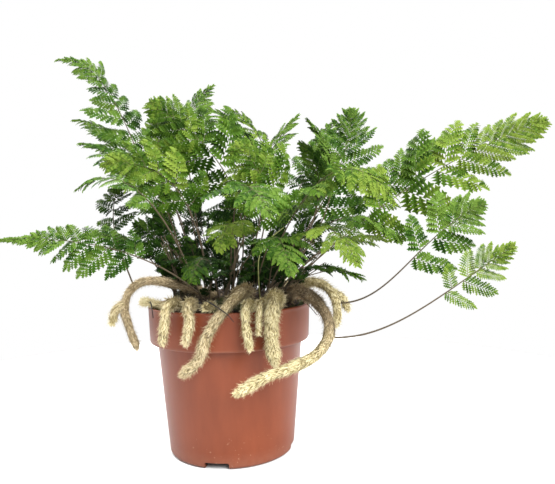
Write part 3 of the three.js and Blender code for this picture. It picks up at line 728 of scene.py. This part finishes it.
# %% List the rhizomes
Rhizome = namedtuple("Rhizome", "name color radius route branch_radius branch", defaults=(None, None))
RHIZOMES = [Rhizome("rhizome_" + name, *shape) for name, *shape in (
    ("left_arch", "brown", 5, [
        (-6, -29, 115), (-26, -30, 121), (-44, -31, 126), (-58, -31, 126), (-67, -32, 119),
        (-70, -33, 108), (-67, -34, 96), (-61, -35, 80)
    ], 3.8, [(-69, -33, 112), (-76, -33, 107), (-79, -33, 97)]),
    ("left_rim", "pale", 3.2, [
        (-38, -31, 106), (-47, -29, 110), (-55, -23, 110.8), (-61, -14, 110.5), (-64, -4, 108.5)
    ]),
    ("front_left", "pale", 4.6, [
        (-28, -37, 108), (-33, -48, 113), (-36, -57, 111), (-37, -58, 102), (-39, -57, 87)
    ]),
    ("front_left_middle", "pale", 4.6, [
        (-20, -40, 107), (-21, -52, 112.5), (-21, -63, 110), (-20, -64, 102), (-23, -63, 88)
    ]),
    ("front_stub", "pale", 3.4, [
        (-6, -47, 107), (-8, -56, 112), (-10, -62, 111)
    ]),
    ("front_slanting", "pale", 5, [
        (14, -27, 112), (16, -39, 119.5), (10, -56, 117.5), (0, -66, 107), (-9, -67, 93),
        (-14, -65, 79), (-26, -62, 68)
    ]),
    ("front_middle", "pale", 3.8, [
        (21, -43, 106), (18, -55, 111.5), (16, -65, 109), (16, -66, 100), (18, -65, 84)
    ]),
    ("front_thin", "pale", 2.8, [
        (27, -42, 107), (26, -53, 112.5), (24.5, -61, 109), (24, -62, 102), (23.5, -62, 93)
    ]),
    ("front_right", "pale", 5.8, [
        (36, -36, 108), (35, -48, 115), (33.5, -60, 111), (32, -62, 100), (32, -61, 86),
        (34, -61, 73)
    ]),
    ("big_loop", "pale", 5.6, [
        (42, -12, 107), (47, -27, 117), (55, -44, 117), (64, -59, 110), (68, -66, 101),
        (67, -70, 91), (59, -74, 82), (44, -76, 75), (29, -77, 70), (9, -75, 59)
    ]),
    ("right_arch", "pale", 4.6, [
        (41, 3, 108), (50, -3, 115), (61, -12, 122), (71, -20, 119), (77, -24, 111),
        (78, -26, 102), (77, -26, 91)
    ], 3.6, [(74, -21, 116), (82, -24, 111), (86, -25, 102)]),
    ("back_left", "brown", 4.6, [
        (-24, 30, 109), (-34, 42, 115), (-42, 51, 111), (-43, 52, 100), (-45, 50, 84)
    ]),
    ("back_middle", "pale", 4.4, [
        (2, 36, 109), (6, 50, 114), (9, 63, 111), (10, 65, 100), (4, 64, 82)
    ]),
    ("back_right", "pale", 5, [
        (32, 28, 109), (42, 38, 116), (52, 47, 112), (56, 50, 102), (52, 52, 88), (42, 58, 76)
    ]),
)]
print(len(RHIZOMES), "rhizomes")

# %% [markdown]
# ## A smooth line through points
# The solids use a centripetal Catmull-Rom curve, which passes through all its points and never loops
# between two close ones. Blender's own curves bend differently, so the same curve is worked out here.
# The side direction is carried along from point to point, which keeps the cross-section from twisting.

# %% Build a rhizome's path
def smooth_line(route, steps=16):
    """Points on the centripetal Catmull-Rom curve through a route."""
    p = [np.array(corner, dtype=float) for corner in route]
    p = [2 * p[0] - p[1]] + p + [2 * p[-1] - p[-2]]
    points = []
    for i in range(1, len(p) - 2):
        near, here, there, far = p[i - 1:i + 3]
        before = np.linalg.norm(here - near) ** 0.5
        span = np.linalg.norm(there - here) ** 0.5
        after = np.linalg.norm(far - there) ** 0.5
        step = there - here
        leave = ((here - near) / before - (there - near) / (before + span) + step / span) * span
        arrive = (step / span - (far - here) / (span + after) + (far - there) / after) * span
        for k in range(steps):
            t = k / steps
            points.append(here + leave * t + (3 * step - 2 * leave - arrive) * t**2
                          + (leave + arrive - 2 * step) * t**3)
    return np.array(points + [p[-2]])


def steady_side(along):
    """A side direction for each point of a line, carried along without twisting."""
    side = np.cross(along[0], (0.3, 1.0, 0.2))
    sides = []
    for way in along:
        side = unit(side - way * (side @ way))
        sides.append(side)
    return np.array(sides)


print("points on the longest line:", max(len(smooth_line(rhizome.route)) for rhizome in RHIZOMES))

# %% [markdown]
# ## Stem and scales
# The stem under the fur is a little thinner than the solid, so that the tips of the scales end at the
# solid's own surface or just past it. A scale starts on the stem, points to the tip of the rhizome and
# stands off by 10 to 40 degrees. Nearly a third of them are thin bristles that stand off by 25 to 70.
# Each scale carries three marks for the material: `out` is 0 at its foot and 1 at its tip, `tone` is its
# own shade, and `age` turns it brown.

# %% Draw a rhizome
SCALES_PER_MM2 = 1.6
BRISTLE_SHARE = 0.3
SCALE_ROOT_DEPTH = 0.15
STEM_SHARE = 0.8
STEM_SIDES = 14
RING_STEP = 1.6


def stem_radius(share, radius, length):
    """Radius of the bare stem at a share of its length, with a blunt round end."""
    cap = 1.6 * radius / length
    round_end = np.sqrt(np.clip(1 - np.clip((share - 1 + cap) / cap, 0, 1) ** 2, 0.02, 1))
    lumps = 1 + 0.07 * np.sin(31 * share + radius) + 0.05 * np.sin(17 * share + 2 * radius)
    return STEM_SHARE * radius * lumps * round_end * (1 - 0.12 * share)


def draw_stem(path, radius, age):
    """The bare stem, as points, faces and marks."""
    rings = max(12, round(path.length / RING_STEP))
    shares = np.linspace(0, 1, rings)
    angles = np.linspace(0, 2 * math.pi, STEM_SIDES, endpoint=False)
    share, angle = (grid.ravel() for grid in np.meshgrid(shares, angles, indexing="ij"))
    reach = stem_radius(share, radius, path.length)
    reach = reach * (1 + 0.06 * np.sin(3 * angle + 40 * share))
    flat = np.stack([share * path.length, reach * np.cos(angle), reach * np.sin(angle)], axis=1)
    marks = {"out": np.zeros(len(share)), "tone": np.full(len(share), 0.3), "age": age(share)}
    return path.bend(flat), tube_faces(rings, STEM_SIDES), marks


def draw_scales(path, radius, chance, age):
    """Scales all over a stem, five points and two faces each, as points, faces and marks."""
    count = round(SCALES_PER_MM2 * 2 * math.pi * radius * path.length)
    share = chance.uniform(0.01, 1.0, count)
    angle = chance.uniform(0, 2 * math.pi, count)
    reach = stem_radius(share, radius, path.length)
    bristle = chance.random(count) > 1 - BRISTLE_SHARE
    long = np.where(bristle, chance.uniform(2.8, 5.0, count), chance.uniform(1.6, 3.4, count))
    long = long * (1 - 0.2 * share)
    wide = np.where(bristle, 0.24, chance.uniform(0.24, 0.52, count))
    lift = np.where(bristle, chance.uniform(0.4, 1.2, count), chance.uniform(0.15, 0.7, count))
    slip = chance.uniform(-0.45, 0.45, count)
    spots = []
    for out, width, rise in ((0, 0.7, 0), (0.45, 1.0, 0.35), (1, 0, 1)):
        for hand in ((1, -1) if width else (0,)):
            x = share * path.length + long * out * np.cos(lift)
            around = angle + (slip * out * long + hand * width * wide / 2) / np.maximum(reach, 1)
            high = reach - SCALE_ROOT_DEPTH + long * np.sin(lift) * (0.6 * out + 0.4 * rise)
            spots.append(np.stack([x, high * np.cos(around), high * np.sin(around)], axis=1))
    flat = np.stack(spots, axis=1).reshape(-1, 3)
    starts = 5 * np.arange(count)
    quads = np.stack([starts, starts + 1, starts + 3, starts + 2], axis=1)
    tips = np.stack([starts + 2, starts + 3, starts + 4], axis=1)
    marks = {
        "out": np.tile([0.0, 0.0, 0.5, 0.5, 1.0], count),
        "tone": np.repeat(chance.random(count), 5),
        "age": age(np.repeat(share, 5)),
    }
    return path.bend(flat), quads.tolist() + tips.tolist(), marks


def join(body, more):
    """Two bodies as one. A body is its points, its faces and its marks."""
    points, faces, marks = body
    more_points, more_faces, more_marks = more
    marks = {name: np.concatenate([marks[name], more_marks[name]]) for name in marks}
    return np.concatenate([points, more_points]), faces + shifted(more_faces, len(points)), marks


def draw_rhizome(route, radius, chance, age):
    """Stem and scales of one route together. age gives how brown it is at a share of its length."""
    path = Path(smooth_line(route), steady_side)
    return join(draw_stem(path, radius, age), draw_scales(path, radius, chance, age))


print(SCALES_PER_MM2, "scales on each square millimetre of stem")

# %% [markdown]
# ## The fur finish
# Under the scales the stem is an olive brown, darkened further by painted shade, which shows as flecks
# between them. The scales go from a dull straw colour at the foot, darkened there by painted shade, to
# cream at the tip. Old scales are a greyish tan. Papery scales scatter light and hardly shine, so the
# surface is rough.

# %% Make the fur material
def fur_material():
    material, start = new_material("rhizome_fur")
    out, tone, age = read_marks(start, "out", "tone", "age")
    patches = noise(start, 120, 2)
    # Painted shade: the stem and the foot of each scale fall on the dark end of the ramp, for the shade
    # between the scales.
    place = out * 0.6 + tone * 0.52 - 0.04 + (patches - 0.5) * 0.5
    pale_fur = ramp(place, (0.0, (0.085, 0.060, 0.022, 1)), (0.25, (0.29, 0.235, 0.095, 1)),
                    (0.6, (0.53, 0.465, 0.265, 1)), (1.0, (0.69, 0.63, 0.43, 1)))
    brown_fur = ramp(place, (0.0, (0.045, 0.029, 0.013, 1)), (0.25, (0.165, 0.115, 0.056, 1)),
                     (0.6, (0.31, 0.235, 0.135, 1)), (1.0, (0.48, 0.40, 0.27, 1)))
    surface(start, Base_Color=age.tint(pale_fur, brown_fur), Roughness=0.85)
    return material


FUR = fur_material()

# %% [markdown]
# ## Young and old fur
# Every foot is brown where it leaves the mix, and most are pale before they reach the rim. The arch on
# the left and the foot at the back left are brown all along, the big loop is brown for half its length,
# and three of the front feet stay brownish to their tips. `thickness` is the width against the solid's:
# 0.9 on most feet, less where the photograph shows a thinner foot, and just over 1 on the thickest.

# %% Put the rhizomes in place
Coat = namedtuple("Coat", "brown_until thickness least_brown", defaults=(0.18, 0.9, 0))
COATS = {
    "rhizome_left_arch": Coat(1.3, 0.74),
    "rhizome_front_left": Coat(thickness=0.84, least_brown=0.2),
    "rhizome_front_left_middle": Coat(thickness=0.84, least_brown=0.35),
    "rhizome_front_slanting": Coat(0.25, 0.86, 0.6),
    "rhizome_front_right": Coat(thickness=1.02),
    "rhizome_big_loop": Coat(0.6, 0.8),
    "rhizome_right_arch": Coat(0.3),
    "rhizome_back_left": Coat(1.6),
}
FADES_OVER = 0.22
scales = 0
for rhizome in RHIZOMES:
    chance = np.random.default_rng(len(rhizome.name) * 7 + len(rhizome.route))
    coat = COATS.get(rhizome.name, Coat())
    strength = 0.85 if coat.brown_until > 1 else 1.0

    def age(share):
        brown = strength * (coat.brown_until - share) / FADES_OVER + 0.3
        return np.clip(brown, coat.least_brown, 1) * strength

    body = draw_rhizome(rhizome.route, rhizome.radius * coat.thickness, chance, age)
    if rhizome.branch:
        branch = draw_rhizome(rhizome.branch, rhizome.branch_radius, chance,
                              lambda share: 0.5 * age(0.6 + share))
        body = join(body, branch)
    points, faces, marks = body
    add_piece(rhizome.name + "_fur", points, faces, FUR, rhizome.name, "rhizome_" + rhizome.color, marks)
    scales += len(faces)
print("faces in all rhizomes:", scales)

# %% [markdown]
# ## The potting mix
# The mix is a dark, loose stuff of bark, fibre and peat, heaped up to the rim and held together by old
# roots. Two things make it read as mix: an uneven ground, and separate crumbs that stick out of it and
# throw shadows. The ground is one closed body that fills the pot. The crumbs are cut stones of random
# size, turned at random, and the fibres are thin three-sided stems that wander over them.

# %% Draw the ground
MIX_RINGS = 46
MIX_SIDES = 150
MIX_RADIUS = 57.0
WAVES = 13
WAVE_HEIGHT = 0.55
CALM_BAND = 6
BURIED_RINGS = [(56.6, 96), (55.5, 83), (51.5, 82), (44.0, 4), (42.5, 2.2)]


def rough_height(x, y):
    """Small ups and downs of the ground, in millimetres, as sums of waves in many directions."""
    height = 0.0
    for k in range(1, WAVES + 1):
        angle, length = 2.4 * k, 17 / k**0.85
        along = x * math.cos(angle) + y * math.sin(angle)
        height = height + WAVE_HEIGHT * np.sin(along * 6.3 / length + k) / k**0.45
    return height


def ground_height(x, y):
    """Height of the uneven ground, which is calmer beside the wall."""
    radius = np.hypot(x, y)
    calm = np.clip((58 - radius) / CALM_BAND, 0.35, 1)
    return float(mix_height(radius) - 0.6 + rough_height(x, y) * calm)


def draw_ground():
    """The uneven top of the mix and, under it, its plain sides and bottom inside the pot."""
    points = [(0.0, 0.0, ground_height(0.0, 0.0))]
    rings = [(MIX_RADIUS * (i / MIX_RINGS) ** 0.8, None) for i in range(1, MIX_RINGS + 1)] + BURIED_RINGS
    for radius, height in rings:
        for x, y in circle(radius, MIX_SIDES):
            points.append((x, y, ground_height(x, y) if height is None else height))
    faces = fan(0, 1, MIX_SIDES) + ring_faces(len(rings), MIX_SIDES, 1, flipped=True)
    faces.append(tuple(reversed(range(len(points) - MIX_SIDES, len(points)))))
    return points, faces


ground_points, ground_faces = draw_ground()
print("faces of the ground:", len(ground_faces))

# %% [markdown]
# ## Crumbs, fibres and old stalks
# A crumb is an octahedron with its corners moved, flattened more for a chip of bark. Old fronds leave
# wiry stubs that stand in the mix between the new stalks, and three long ones are bent over the rim. One
# more stalk, pale green and without leaves, rises in front.

# %% Draw what lies on the ground
CRUMBS = 2600
FIBRES = 420
STUBS = 70
FIBRE_STEPS = 9
LITTER_EDGE = 55.5
CRUMB_EDGE = 56.5
CRUMB_CORNERS = np.array([(1, 0, 0), (0, 1, 0), (-1, 0, 0), (0, -1, 0), (0, 0, 1), (0, 0, -1)], dtype=float)
CRUMB_FACES = [(k, (k + 1) % 4, 4) for k in range(4)] + [((k + 1) % 4, k, 5) for k in range(4)]
BENT_STALKS = [
    [(-16, -40, 108), (-10, -55, 114), (-1, -68, 111.5), (5, -71, 107.5), (8.5, -70, 103)],
    [(-50, -24, 106), (-53, -29, 112), (-51, -34, 110), (-49, -38.5, 102)],
    [(49, -30, 107), (53, -34, 112), (57, -37, 108.5), (63, -35, 101)],
]
PALE_STALK = [(24.5, -36, 110), (24, -46, 124), (25, -52, 143), (31, -57, 153), (41, -62, 161)]
PALE_WOOD = 0.28


def on_ground(chance, inner, outer):
    """A random place on the ground between two radii, as likely in each part of it."""
    radius = math.sqrt(chance.uniform(inner**2, outer**2))
    x, y = polar(radius, chance.uniform(0, 2 * math.pi))
    return np.array([x, y, ground_height(x, y)])


def add_crumb(drawing, chance):
    place = on_ground(chance, 0, CRUMB_EDGE)
    size = 0.5 + 1.7 * chance.random() ** 2.2
    shape = Vector((size * chance.uniform(0.8, 1.9), size, size * chance.uniform(0.35, 0.9)))
    turn = Matrix.Rotation(chance.uniform(0, 6.3), 3, "Z")
    turn = turn @ Matrix.Rotation(chance.uniform(-0.7, 0.7), 3, "X")
    points = []
    for corner in CRUMB_CORNERS:
        moved = Vector(corner * (0.75 + 0.5 * chance.random()))
        points.append(tuple(np.array(turn @ Vector(a * b for a, b in zip(moved, shape))) + place))
    drawing.add(points, CRUMB_FACES, 0.0, chance.random(), 0.0)


def add_fibre(drawing, start, way, length, radius, droop, chance, wood):
    """A thin stem that wanders over the ground. way is where it sets off to, and droop brings it down."""
    place, centers = np.array(start), [np.array(start)]
    for _ in range(FIBRE_STEPS):
        turn = chance.uniform(-0.55, 0.55)
        x, y = way[0], way[1]
        way = np.array([x * math.cos(turn) - y * math.sin(turn), x * math.sin(turn) + y * math.cos(turn),
                        way[2] + chance.uniform(-0.3, 0.3) - droop * 0.12])
        way = unit(way)
        place = place + way * (length / FIBRE_STEPS)
        place[:2] *= min(1, LITTER_EDGE / math.hypot(place[0], place[1]))
        place[2] = max(place[2], ground_height(place[0], place[1]) + radius)
        centers.append(place.copy())
    radii = [radius * (1 - 0.5 * k / FIBRE_STEPS) for k in range(FIBRE_STEPS + 1)]
    across = unit(np.cross(way, (0.1, 0.2, 1.0)))
    drawing.stem(centers, radii, across, UP, 3, chance.random(), [wood] * (FIBRE_STEPS + 1))


def draw_litter():
    """The loose stuff. Its mark wood is 0 for crumbs, 0.5 for fibre, 1 for stalks, less for the pale one."""
    chance = random.Random(5)
    drawing = Drawing()
    for _ in range(CRUMBS):
        add_crumb(drawing, chance)
    for _ in range(FIBRES):
        start = on_ground(chance, 12, 56)
        angle = chance.uniform(0, 6.3)
        way = np.array([*polar(1, angle), chance.uniform(-0.1, 0.5)])
        add_fibre(drawing, start, way, chance.uniform(7, 22), chance.uniform(0.15, 0.32), 1, chance, 0.5)
    for _ in range(STUBS):
        start = on_ground(chance, 0, 46) - (0, 0, 2)
        way = unit(np.array([*polar(0.6, chance.uniform(0, 6.3)), 1.0]))
        add_fibre(drawing, start, way, chance.uniform(7, 24), chance.uniform(0.3, 0.5), 0.3, chance, 1.0)
    for wood, route in [(1.0, bent) for bent in BENT_STALKS] + [(PALE_WOOD, PALE_STALK)]:
        centers = smooth_line(route, 5)
        count = len(centers)
        radii = [0.75 - 0.4 * k / count for k in range(count)]
        drawing.stem(centers, radii, np.array([0.6, 0.8, 0.0]), UP, 4, 0.5, [wood] * count)
    return drawing


litter = draw_litter()
print("faces of the loose stuff:", len(litter.faces))

# %% [markdown]
# ## Moss
# Cushions of moss grow where the mix is always damp, near the rim and round the rhizomes, and some stand
# up above the rim. Each cushion is a low dome with a crowd of very short blades all over it.

# %% Draw the moss
CUSHIONS = [
    (-50, -22, 7), (-44, -32, 6), (-29, -47, 6), (-14, -52, 5), (-4, -50, 5), (47, -30, 8), (52, -18, 7),
    (44, -38, 5), (-54, 4, 6), (26, -50, 5), (10, -44, 6), (20, 50, 6), (-20, 50, 7), (53, 12, 6),
    (46, 30, 5), (-46, 30, 6), (-38, 10, 7), (-2, -36, 6), (34, 4, 6)
]
DOME_RINGS = (0.35, 0.65, 0.88, 1.0)
DOME_SIDES = 14
DOME_RISE = 0.75
DOME_DEPTH = 1.5
BLADES_PER_MM2 = 9
BLADE_HALF_WIDTH = 0.25
POT_WALL_INSIDE = 56.6


def on_cushion(x, y, spread, radius, angle):
    """A point on a cushion's dome. The wall of the pot flattens the side that would go through it."""
    dx, dy = polar(radius, angle)
    px, py = x + dx, y + dy
    inside = min(1, POT_WALL_INSIDE / math.hypot(px, py))
    rise = DOME_RISE * spread * math.sqrt(max(0, 1 - (radius / spread) ** 2))
    return np.array([px * inside, py * inside, ground_height(x, y) - DOME_DEPTH + rise])


def add_moss(drawing, x, y, spread, chance):
    dome = [tuple(on_cushion(x, y, spread, 0.0, 0.0))]
    dome += [tuple(on_cushion(x, y, spread, spread * ring, 2 * math.pi * k / DOME_SIDES))
             for ring in DOME_RINGS for k in range(DOME_SIDES)]
    faces = fan(0, 1, DOME_SIDES) + ring_faces(len(DOME_RINGS), DOME_SIDES, 1, flipped=True)
    drawing.add(dome, faces, 0.1, 0.1, 0.0)
    for _ in range(round(BLADES_PER_MM2 * spread * spread)):
        radius, angle = spread * math.sqrt(chance.random()), chance.uniform(0, 6.3)
        root = on_cushion(x, y, spread, radius, angle) - (0, 0, 0.3)
        up = unit(np.array([chance.uniform(-0.7, 0.7), chance.uniform(-0.7, 0.7), 1.0]))
        across = unit(np.cross(up, (*polar(1, angle), 0.0))) * BLADE_HALF_WIDTH
        long = chance.uniform(1.2, 3.2) * (1.2 - 0.5 * radius / spread)
        points = [tuple(root - across), tuple(root + across), tuple(root + up * long)]
        drawing.add(points, [(0, 1, 2)], [0.0, 0.0, 1.0], chance.random(), 0.0)


moss = Drawing()
moss_chance = random.Random(11)
for x, y, spread in CUSHIONS:
    add_moss(moss, x, y, spread, moss_chance)
print("faces of the moss:", len(moss.faces))

# %% [markdown]
# ## Young plants between the stalks
# The heart of the plant is dark because small shaded fronds crowd between the big stalks. They are drawn
# as any frond is, only much smaller: each rises out of the mix, leans outwards and ends in a short blade.
# Between them stand bundles of bare stalks that have lost their leaves.

# %% Draw the young fronds and the bare stalks
YOUNG_FRONDS = 44
STALK_BUNDLES = [(11, (31, -22), (42, -2, 38)), (8, (-20, -18), (-20, -6, 46)), (6, (6, -28), (16, -8, 44))]


def young_frond(number, chance):
    x, y, z = on_ground(chance, 6, 47)
    angle = math.atan2(y, x) + chance.uniform(-1.3, 1.3)
    high, out = chance.uniform(16, 46), chance.uniform(5, 24)
    way = np.array([*polar(out, angle), 0.0])
    root = np.array([x, y, z])
    rise = root + way * 0.15 + (0, 0, 0.7 * high)
    arch = root + way * 0.6 + (0, 0, 1.1 * high)
    tip = root + way * 1.3 + (0, 0, high)
    width = chance.uniform(15, 26)
    return Frond("young_" + str(number), "dark", (x, y), rise, arch, tip, 0.4, width, chance.uniform(-70, 70))


def add_bare_stalks(drawing):
    """Thin stalks without leaves, in bundles that lean the same way: how many, from where, how far."""
    chance = random.Random(31)
    for count, middle, way in STALK_BUNDLES:
        for _ in range(count):
            x, y = middle[0] + chance.uniform(-11, 11), middle[1] + chance.uniform(-12, 12)
            root = np.array([x, y, mix_height(math.hypot(x, y)) - 2])
            stretch = [chance.uniform(0.6, 1.15) for _ in range(3)]
            tip = root + np.array(way) * stretch
            half = root + (tip - root) * 0.45 + (0, 0, chance.uniform(1, 7))
            centers = smooth_line([root, half, tip], 5)
            radii = [0.5 - 0.2 * k / len(centers) for k in range(len(centers))]
            across = unit(np.cross(tip - root, (0.0, 1.0, 0.2)))
            upward = unit(np.cross(across, tip - root))
            drawing.stem(centers, radii, across, upward, 4, 0.5, [1.0] * len(centers))


young = Drawing()
young_chance = random.Random(23)
for number in range(YOUNG_FRONDS):
    drawing, points = draw_frond(young_frond(number, young_chance))
    young.add(points.tolist(), drawing.faces, **drawing.marks)
add_bare_stalks(young)
print("faces in the young fronds:", len(young.faces))

# %% [markdown]
# ## The finishes of the mix
# Wet peat is almost black. Single crumbs are red brown or tan, so the colour follows each crumb's own
# tone by a ramp that stays dark for most of its length. Fibres are brown, the old stalks near black, and
# the pale stalk falls on the green start of its ramp. Moss is olive, with lighter points.

# %% Make the materials of the mix and put it in place
WOOD_BEGINS = 0.25


def mix_material():
    material, start = new_material("damp_mix")
    tone, wood = read_marks(start, "tone", "wood")
    grains = noise(start, 900, 4)
    loose = ramp(tone * 0.9 + (grains - 0.5) * 0.6,
                 (0.0, (0.006, 0.004, 0.003, 1)), (0.45, (0.020, 0.012, 0.007, 1)),
                 (0.75, (0.058, 0.034, 0.017, 1)), (1.0, (0.15, 0.105, 0.055, 1)))
    stalks = ramp(wood + (tone - 0.5) * 0.3,
                  (PALE_WOOD, (0.19, 0.20, 0.065, 1)), (0.36, (0.048, 0.031, 0.016, 1)),
                  (0.5, (0.055, 0.036, 0.020, 1)), (0.75, (0.015, 0.010, 0.007, 1)),
                  (1.0, (0.010, 0.007, 0.005, 1)))
    color = (wood > WOOD_BEGINS).tint(loose, stalks)
    bump = start.node("ShaderNodeBump", {}, {"Height": grains, "Strength": 0.5, "Distance": 0.0008})
    surface(start, Base_Color=color, Roughness=0.9, Normal=bump)
    return material


def moss_material():
    material, start = new_material("moss")
    tone, rib = read_marks(start, "tone", "rib")
    color = ramp(rib * 0.45 + tone * 0.55, (0.0, (0.010, 0.015, 0.003, 1)), (0.6, (0.045, 0.055, 0.010, 1)),
                 (1.0, (0.105, 0.110, 0.025, 1)))
    surface(start, Base_Color=color, Roughness=0.9)
    return material


MIX = mix_material()
bare = {"tone": [0.3] * len(ground_points), "wood": [0.0] * len(ground_points)}
litter.marks.pop("rib")
moss.marks.pop("wood")
add_piece("potting_mix_ground", ground_points, ground_faces, MIX, "potting_mix", "potting_mix", bare)
add_piece("potting_mix_litter", litter.points, litter.faces, MIX, "potting_mix", "potting_mix", litter.marks)
add_piece("potting_mix_young_fronds", young.points, young.faces, LEAVES["dark"], "potting_mix", "frond_dark",
          young.marks, smooth=False)
add_piece("potting_mix_moss", moss.points, moss.faces, moss_material(), "potting_mix", "potting_mix",
          moss.marks)
print("the mix is in place with", len(CUSHIONS), "cushions of moss")

# %% [markdown]
# ## The pot
# A nursery pot is moulded in thin terracotta plastic: a tapered wall, a tall collar that starts in a small
# ledge, a rolled rim and drainage notches at the foot. A turned profile gives it all but the notches, which
# are cut with a Boolean so that their edges are crisp. The profile is that of the solid with more points
# on each round.

# %% Draw the pot
POT_SIDES = 144
SHARP_FROM = math.radians(40)
NOTCH_ANGLES = [-99, -9, 81, 171]
NOTCH_REACH = (37, 60)
NOTCH_OUTLINE = [(-8.5, -4), (8.5, -4), (8.5, 3.6), (7.6, 4.5), (-7.6, 4.5), (-8.5, 3.6)]


def arc(center, radius, start, end, steps=5):
    """Points on an arc in the profile, with angles in degrees."""
    spots = [polar(radius, math.radians(start + (end - start) * k / steps)) for k in range(steps + 1)]
    return [(center[0] + x, center[1] + y) for x, y in spots]


def pot_profile():
    """Radius and height, from the middle of the floor outwards, up the wall and back down inside."""
    foot = [(0.0, 0.6), (30.0, 0.6), (32.0, 0.0), (43.4, 0.0)] + arc((43.5, 2.6), 2.6, -80, -5)
    wall = [(46.25, 4.0), (49.7, 40.0), (53.4, 79.0)] + arc((54.3, 80.4), 0.7, 180, 100, 3)
    ledge = [(57.9, 81)] + arc((58.1, 81.8), 0.8, -80, -5, 4)
    collar = [(59.0, 84.0), (59.5, 96.0), (59.75, 103.4)]
    rim = arc((59.1, 105.9), 0.9, -30, 90) + arc((58.9, 105.9), 1.0, 100, 180, 3)
    inside = [(57.6, 90.0), (57.3, 83.5), (56.3, 82.4), (52.6, 82.3), (45.2, 4.2), (43.6, 1.9), (0.0, 1.9)]
    return foot + wall + ledge + collar + rim + inside


def turned(name, profile, sides):
    """A closed body of revolution. The profile starts and ends on the axis."""
    rows = profile[1:-1]
    points = [(0.0, 0.0, profile[0][1]), (0.0, 0.0, profile[-1][1])]
    for radius, height in rows:
        points += [(x, y, height) for x, y in circle(radius, sides)]
    faces = []
    for k in range(sides):
        after = (k + 1) % sides
        faces.append((0, 2 + after, 2 + k))
        last = 2 + (len(rows) - 1) * sides
        faces.append((1, last + k, last + after))
        for i in range(len(rows) - 1):
            low, high = 2 + i * sides, 2 + (i + 1) * sides
            faces.append((low + k, low + after, high + after, high + k))
    mesh = bpy.data.meshes.new(name)
    mesh.from_pydata((np.array(points) * MM).tolist(), [], faces)
    return bpy.data.objects.new(name, mesh)


def cut_notches(body):
    """Takes the drainage notches out of the foot of the pot."""
    points, faces = [], []
    for degrees in NOTCH_ANGLES:
        turn = Matrix.Rotation(math.radians(degrees), 3, "Z")
        first = len(points)
        for x in NOTCH_REACH:
            points += [tuple(turn @ Vector((x, y, z)) * MM) for y, z in NOTCH_OUTLINE]
        ends = [(5, 4, 3, 2, 1, 0), (6, 7, 8, 9, 10, 11)]
        faces += shifted(ends + ring_faces(2, len(NOTCH_OUTLINE)), first)
    mesh = bpy.data.meshes.new("notches")
    mesh.from_pydata(points, [], faces)
    cutter = bpy.data.objects.new("notches", mesh)
    for item in (body, cutter):
        bpy.context.scene.collection.objects.link(item)
    cut = body.modifiers.new("notches", "BOOLEAN")
    cut.object = cutter
    cut.solver = "EXACT"
    graph = bpy.context.evaluated_depsgraph_get()
    body.data = bpy.data.meshes.new_from_object(body.evaluated_get(graph))
    body.modifiers.clear()
    bpy.data.objects.remove(cutter)


# %% [markdown]
# ## Terracotta plastic
# The plastic is coloured through and has a satin skin. Close up it is not even: the melt leaves faint
# clouds, vertical streaks of painted reflection run down the wall, pale greyish-pink patches of painted
# sheen lie where the collar and the foot stick out, and splashes leave a few tan specks low down. Clouds,
# streaks and sheen patches are noises, and the height above the ground decides where the sheen and the
# specks may show.

# %% Make the pot material and put the pot in place
SPECKS_BELOW = 0.03
SPECKS_ABOVE_NOISE = 0.735
LEDGE_HEIGHT = 0.0815


def pot_material():
    material, start = new_material("terracotta_plastic")
    place = start.node("ShaderNodeTexCoord", out=3)
    height = start.node("ShaderNodeSeparateXYZ", {}, {0: place}, out=2)
    clouds = noise(start, 22, 3)
    # Painted reflection: a noise drawn out upwards puts vertical light and dark streaks into the colour.
    drawn_out = start.node("ShaderNodeVectorMath", {"operation": "MULTIPLY"}, {0: place, 1: (60, 60, 14)})
    reflection_streaks = noise(start, 2.2, 3, drawn_out)
    plastic = ramp(clouds * 0.55 + reflection_streaks * 0.45,
                   (0.3, (0.113, 0.0248, 0.0086, 1)), (0.7, (0.153, 0.0362, 0.0132, 1)))
    low_down = start.math("MAXIMUM", (SPECKS_BELOW - height) * 30, 0.0)
    specks = (noise(start, 620, 1) > SPECKS_ABOVE_NOISE) * low_down
    dusty = specks.tint(plastic, (0.24, 0.13, 0.08, 1))
    # Painted sheen: paler greyish-pink patches on the foot and along the collar's ledge.
    sheen_patches = noise(start, 260, 4)
    foot = start.math("MAXIMUM", 1 - height * 90, 0.0)
    collar = start.math("MAXIMUM", 1 - start.math("ABSOLUTE", height - LEDGE_HEIGHT, 0.0) * 700, 0.0)
    painted_sheen_mask = (foot + collar) * sheen_patches * 0.55
    color = painted_sheen_mask.tint(dusty, (0.20, 0.095, 0.065, 1))
    rough = 0.36 + clouds * 0.1 + painted_sheen_mask * 0.3
    skin = noise(start, 1400, 2)
    bump = start.node("ShaderNodeBump", {}, {"Height": skin, "Strength": 0.08, "Distance": 0.0003})
    surface(start, Base_Color=color, Roughness=rough, Specular_IOR_Level=0.22, Normal=bump)
    return material


pot = turned("pot_moulded", pot_profile(), POT_SIDES)
cut_notches(pot)
pot.data.materials.clear()
pot.data.materials.append(pot_material())
pot.data.shade_smooth()
pot.data.set_sharp_from_angle(angle=SHARP_FROM)
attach(pot, "root")
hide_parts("pot")
print("faces of the pot:", len(pot.data.polygons))
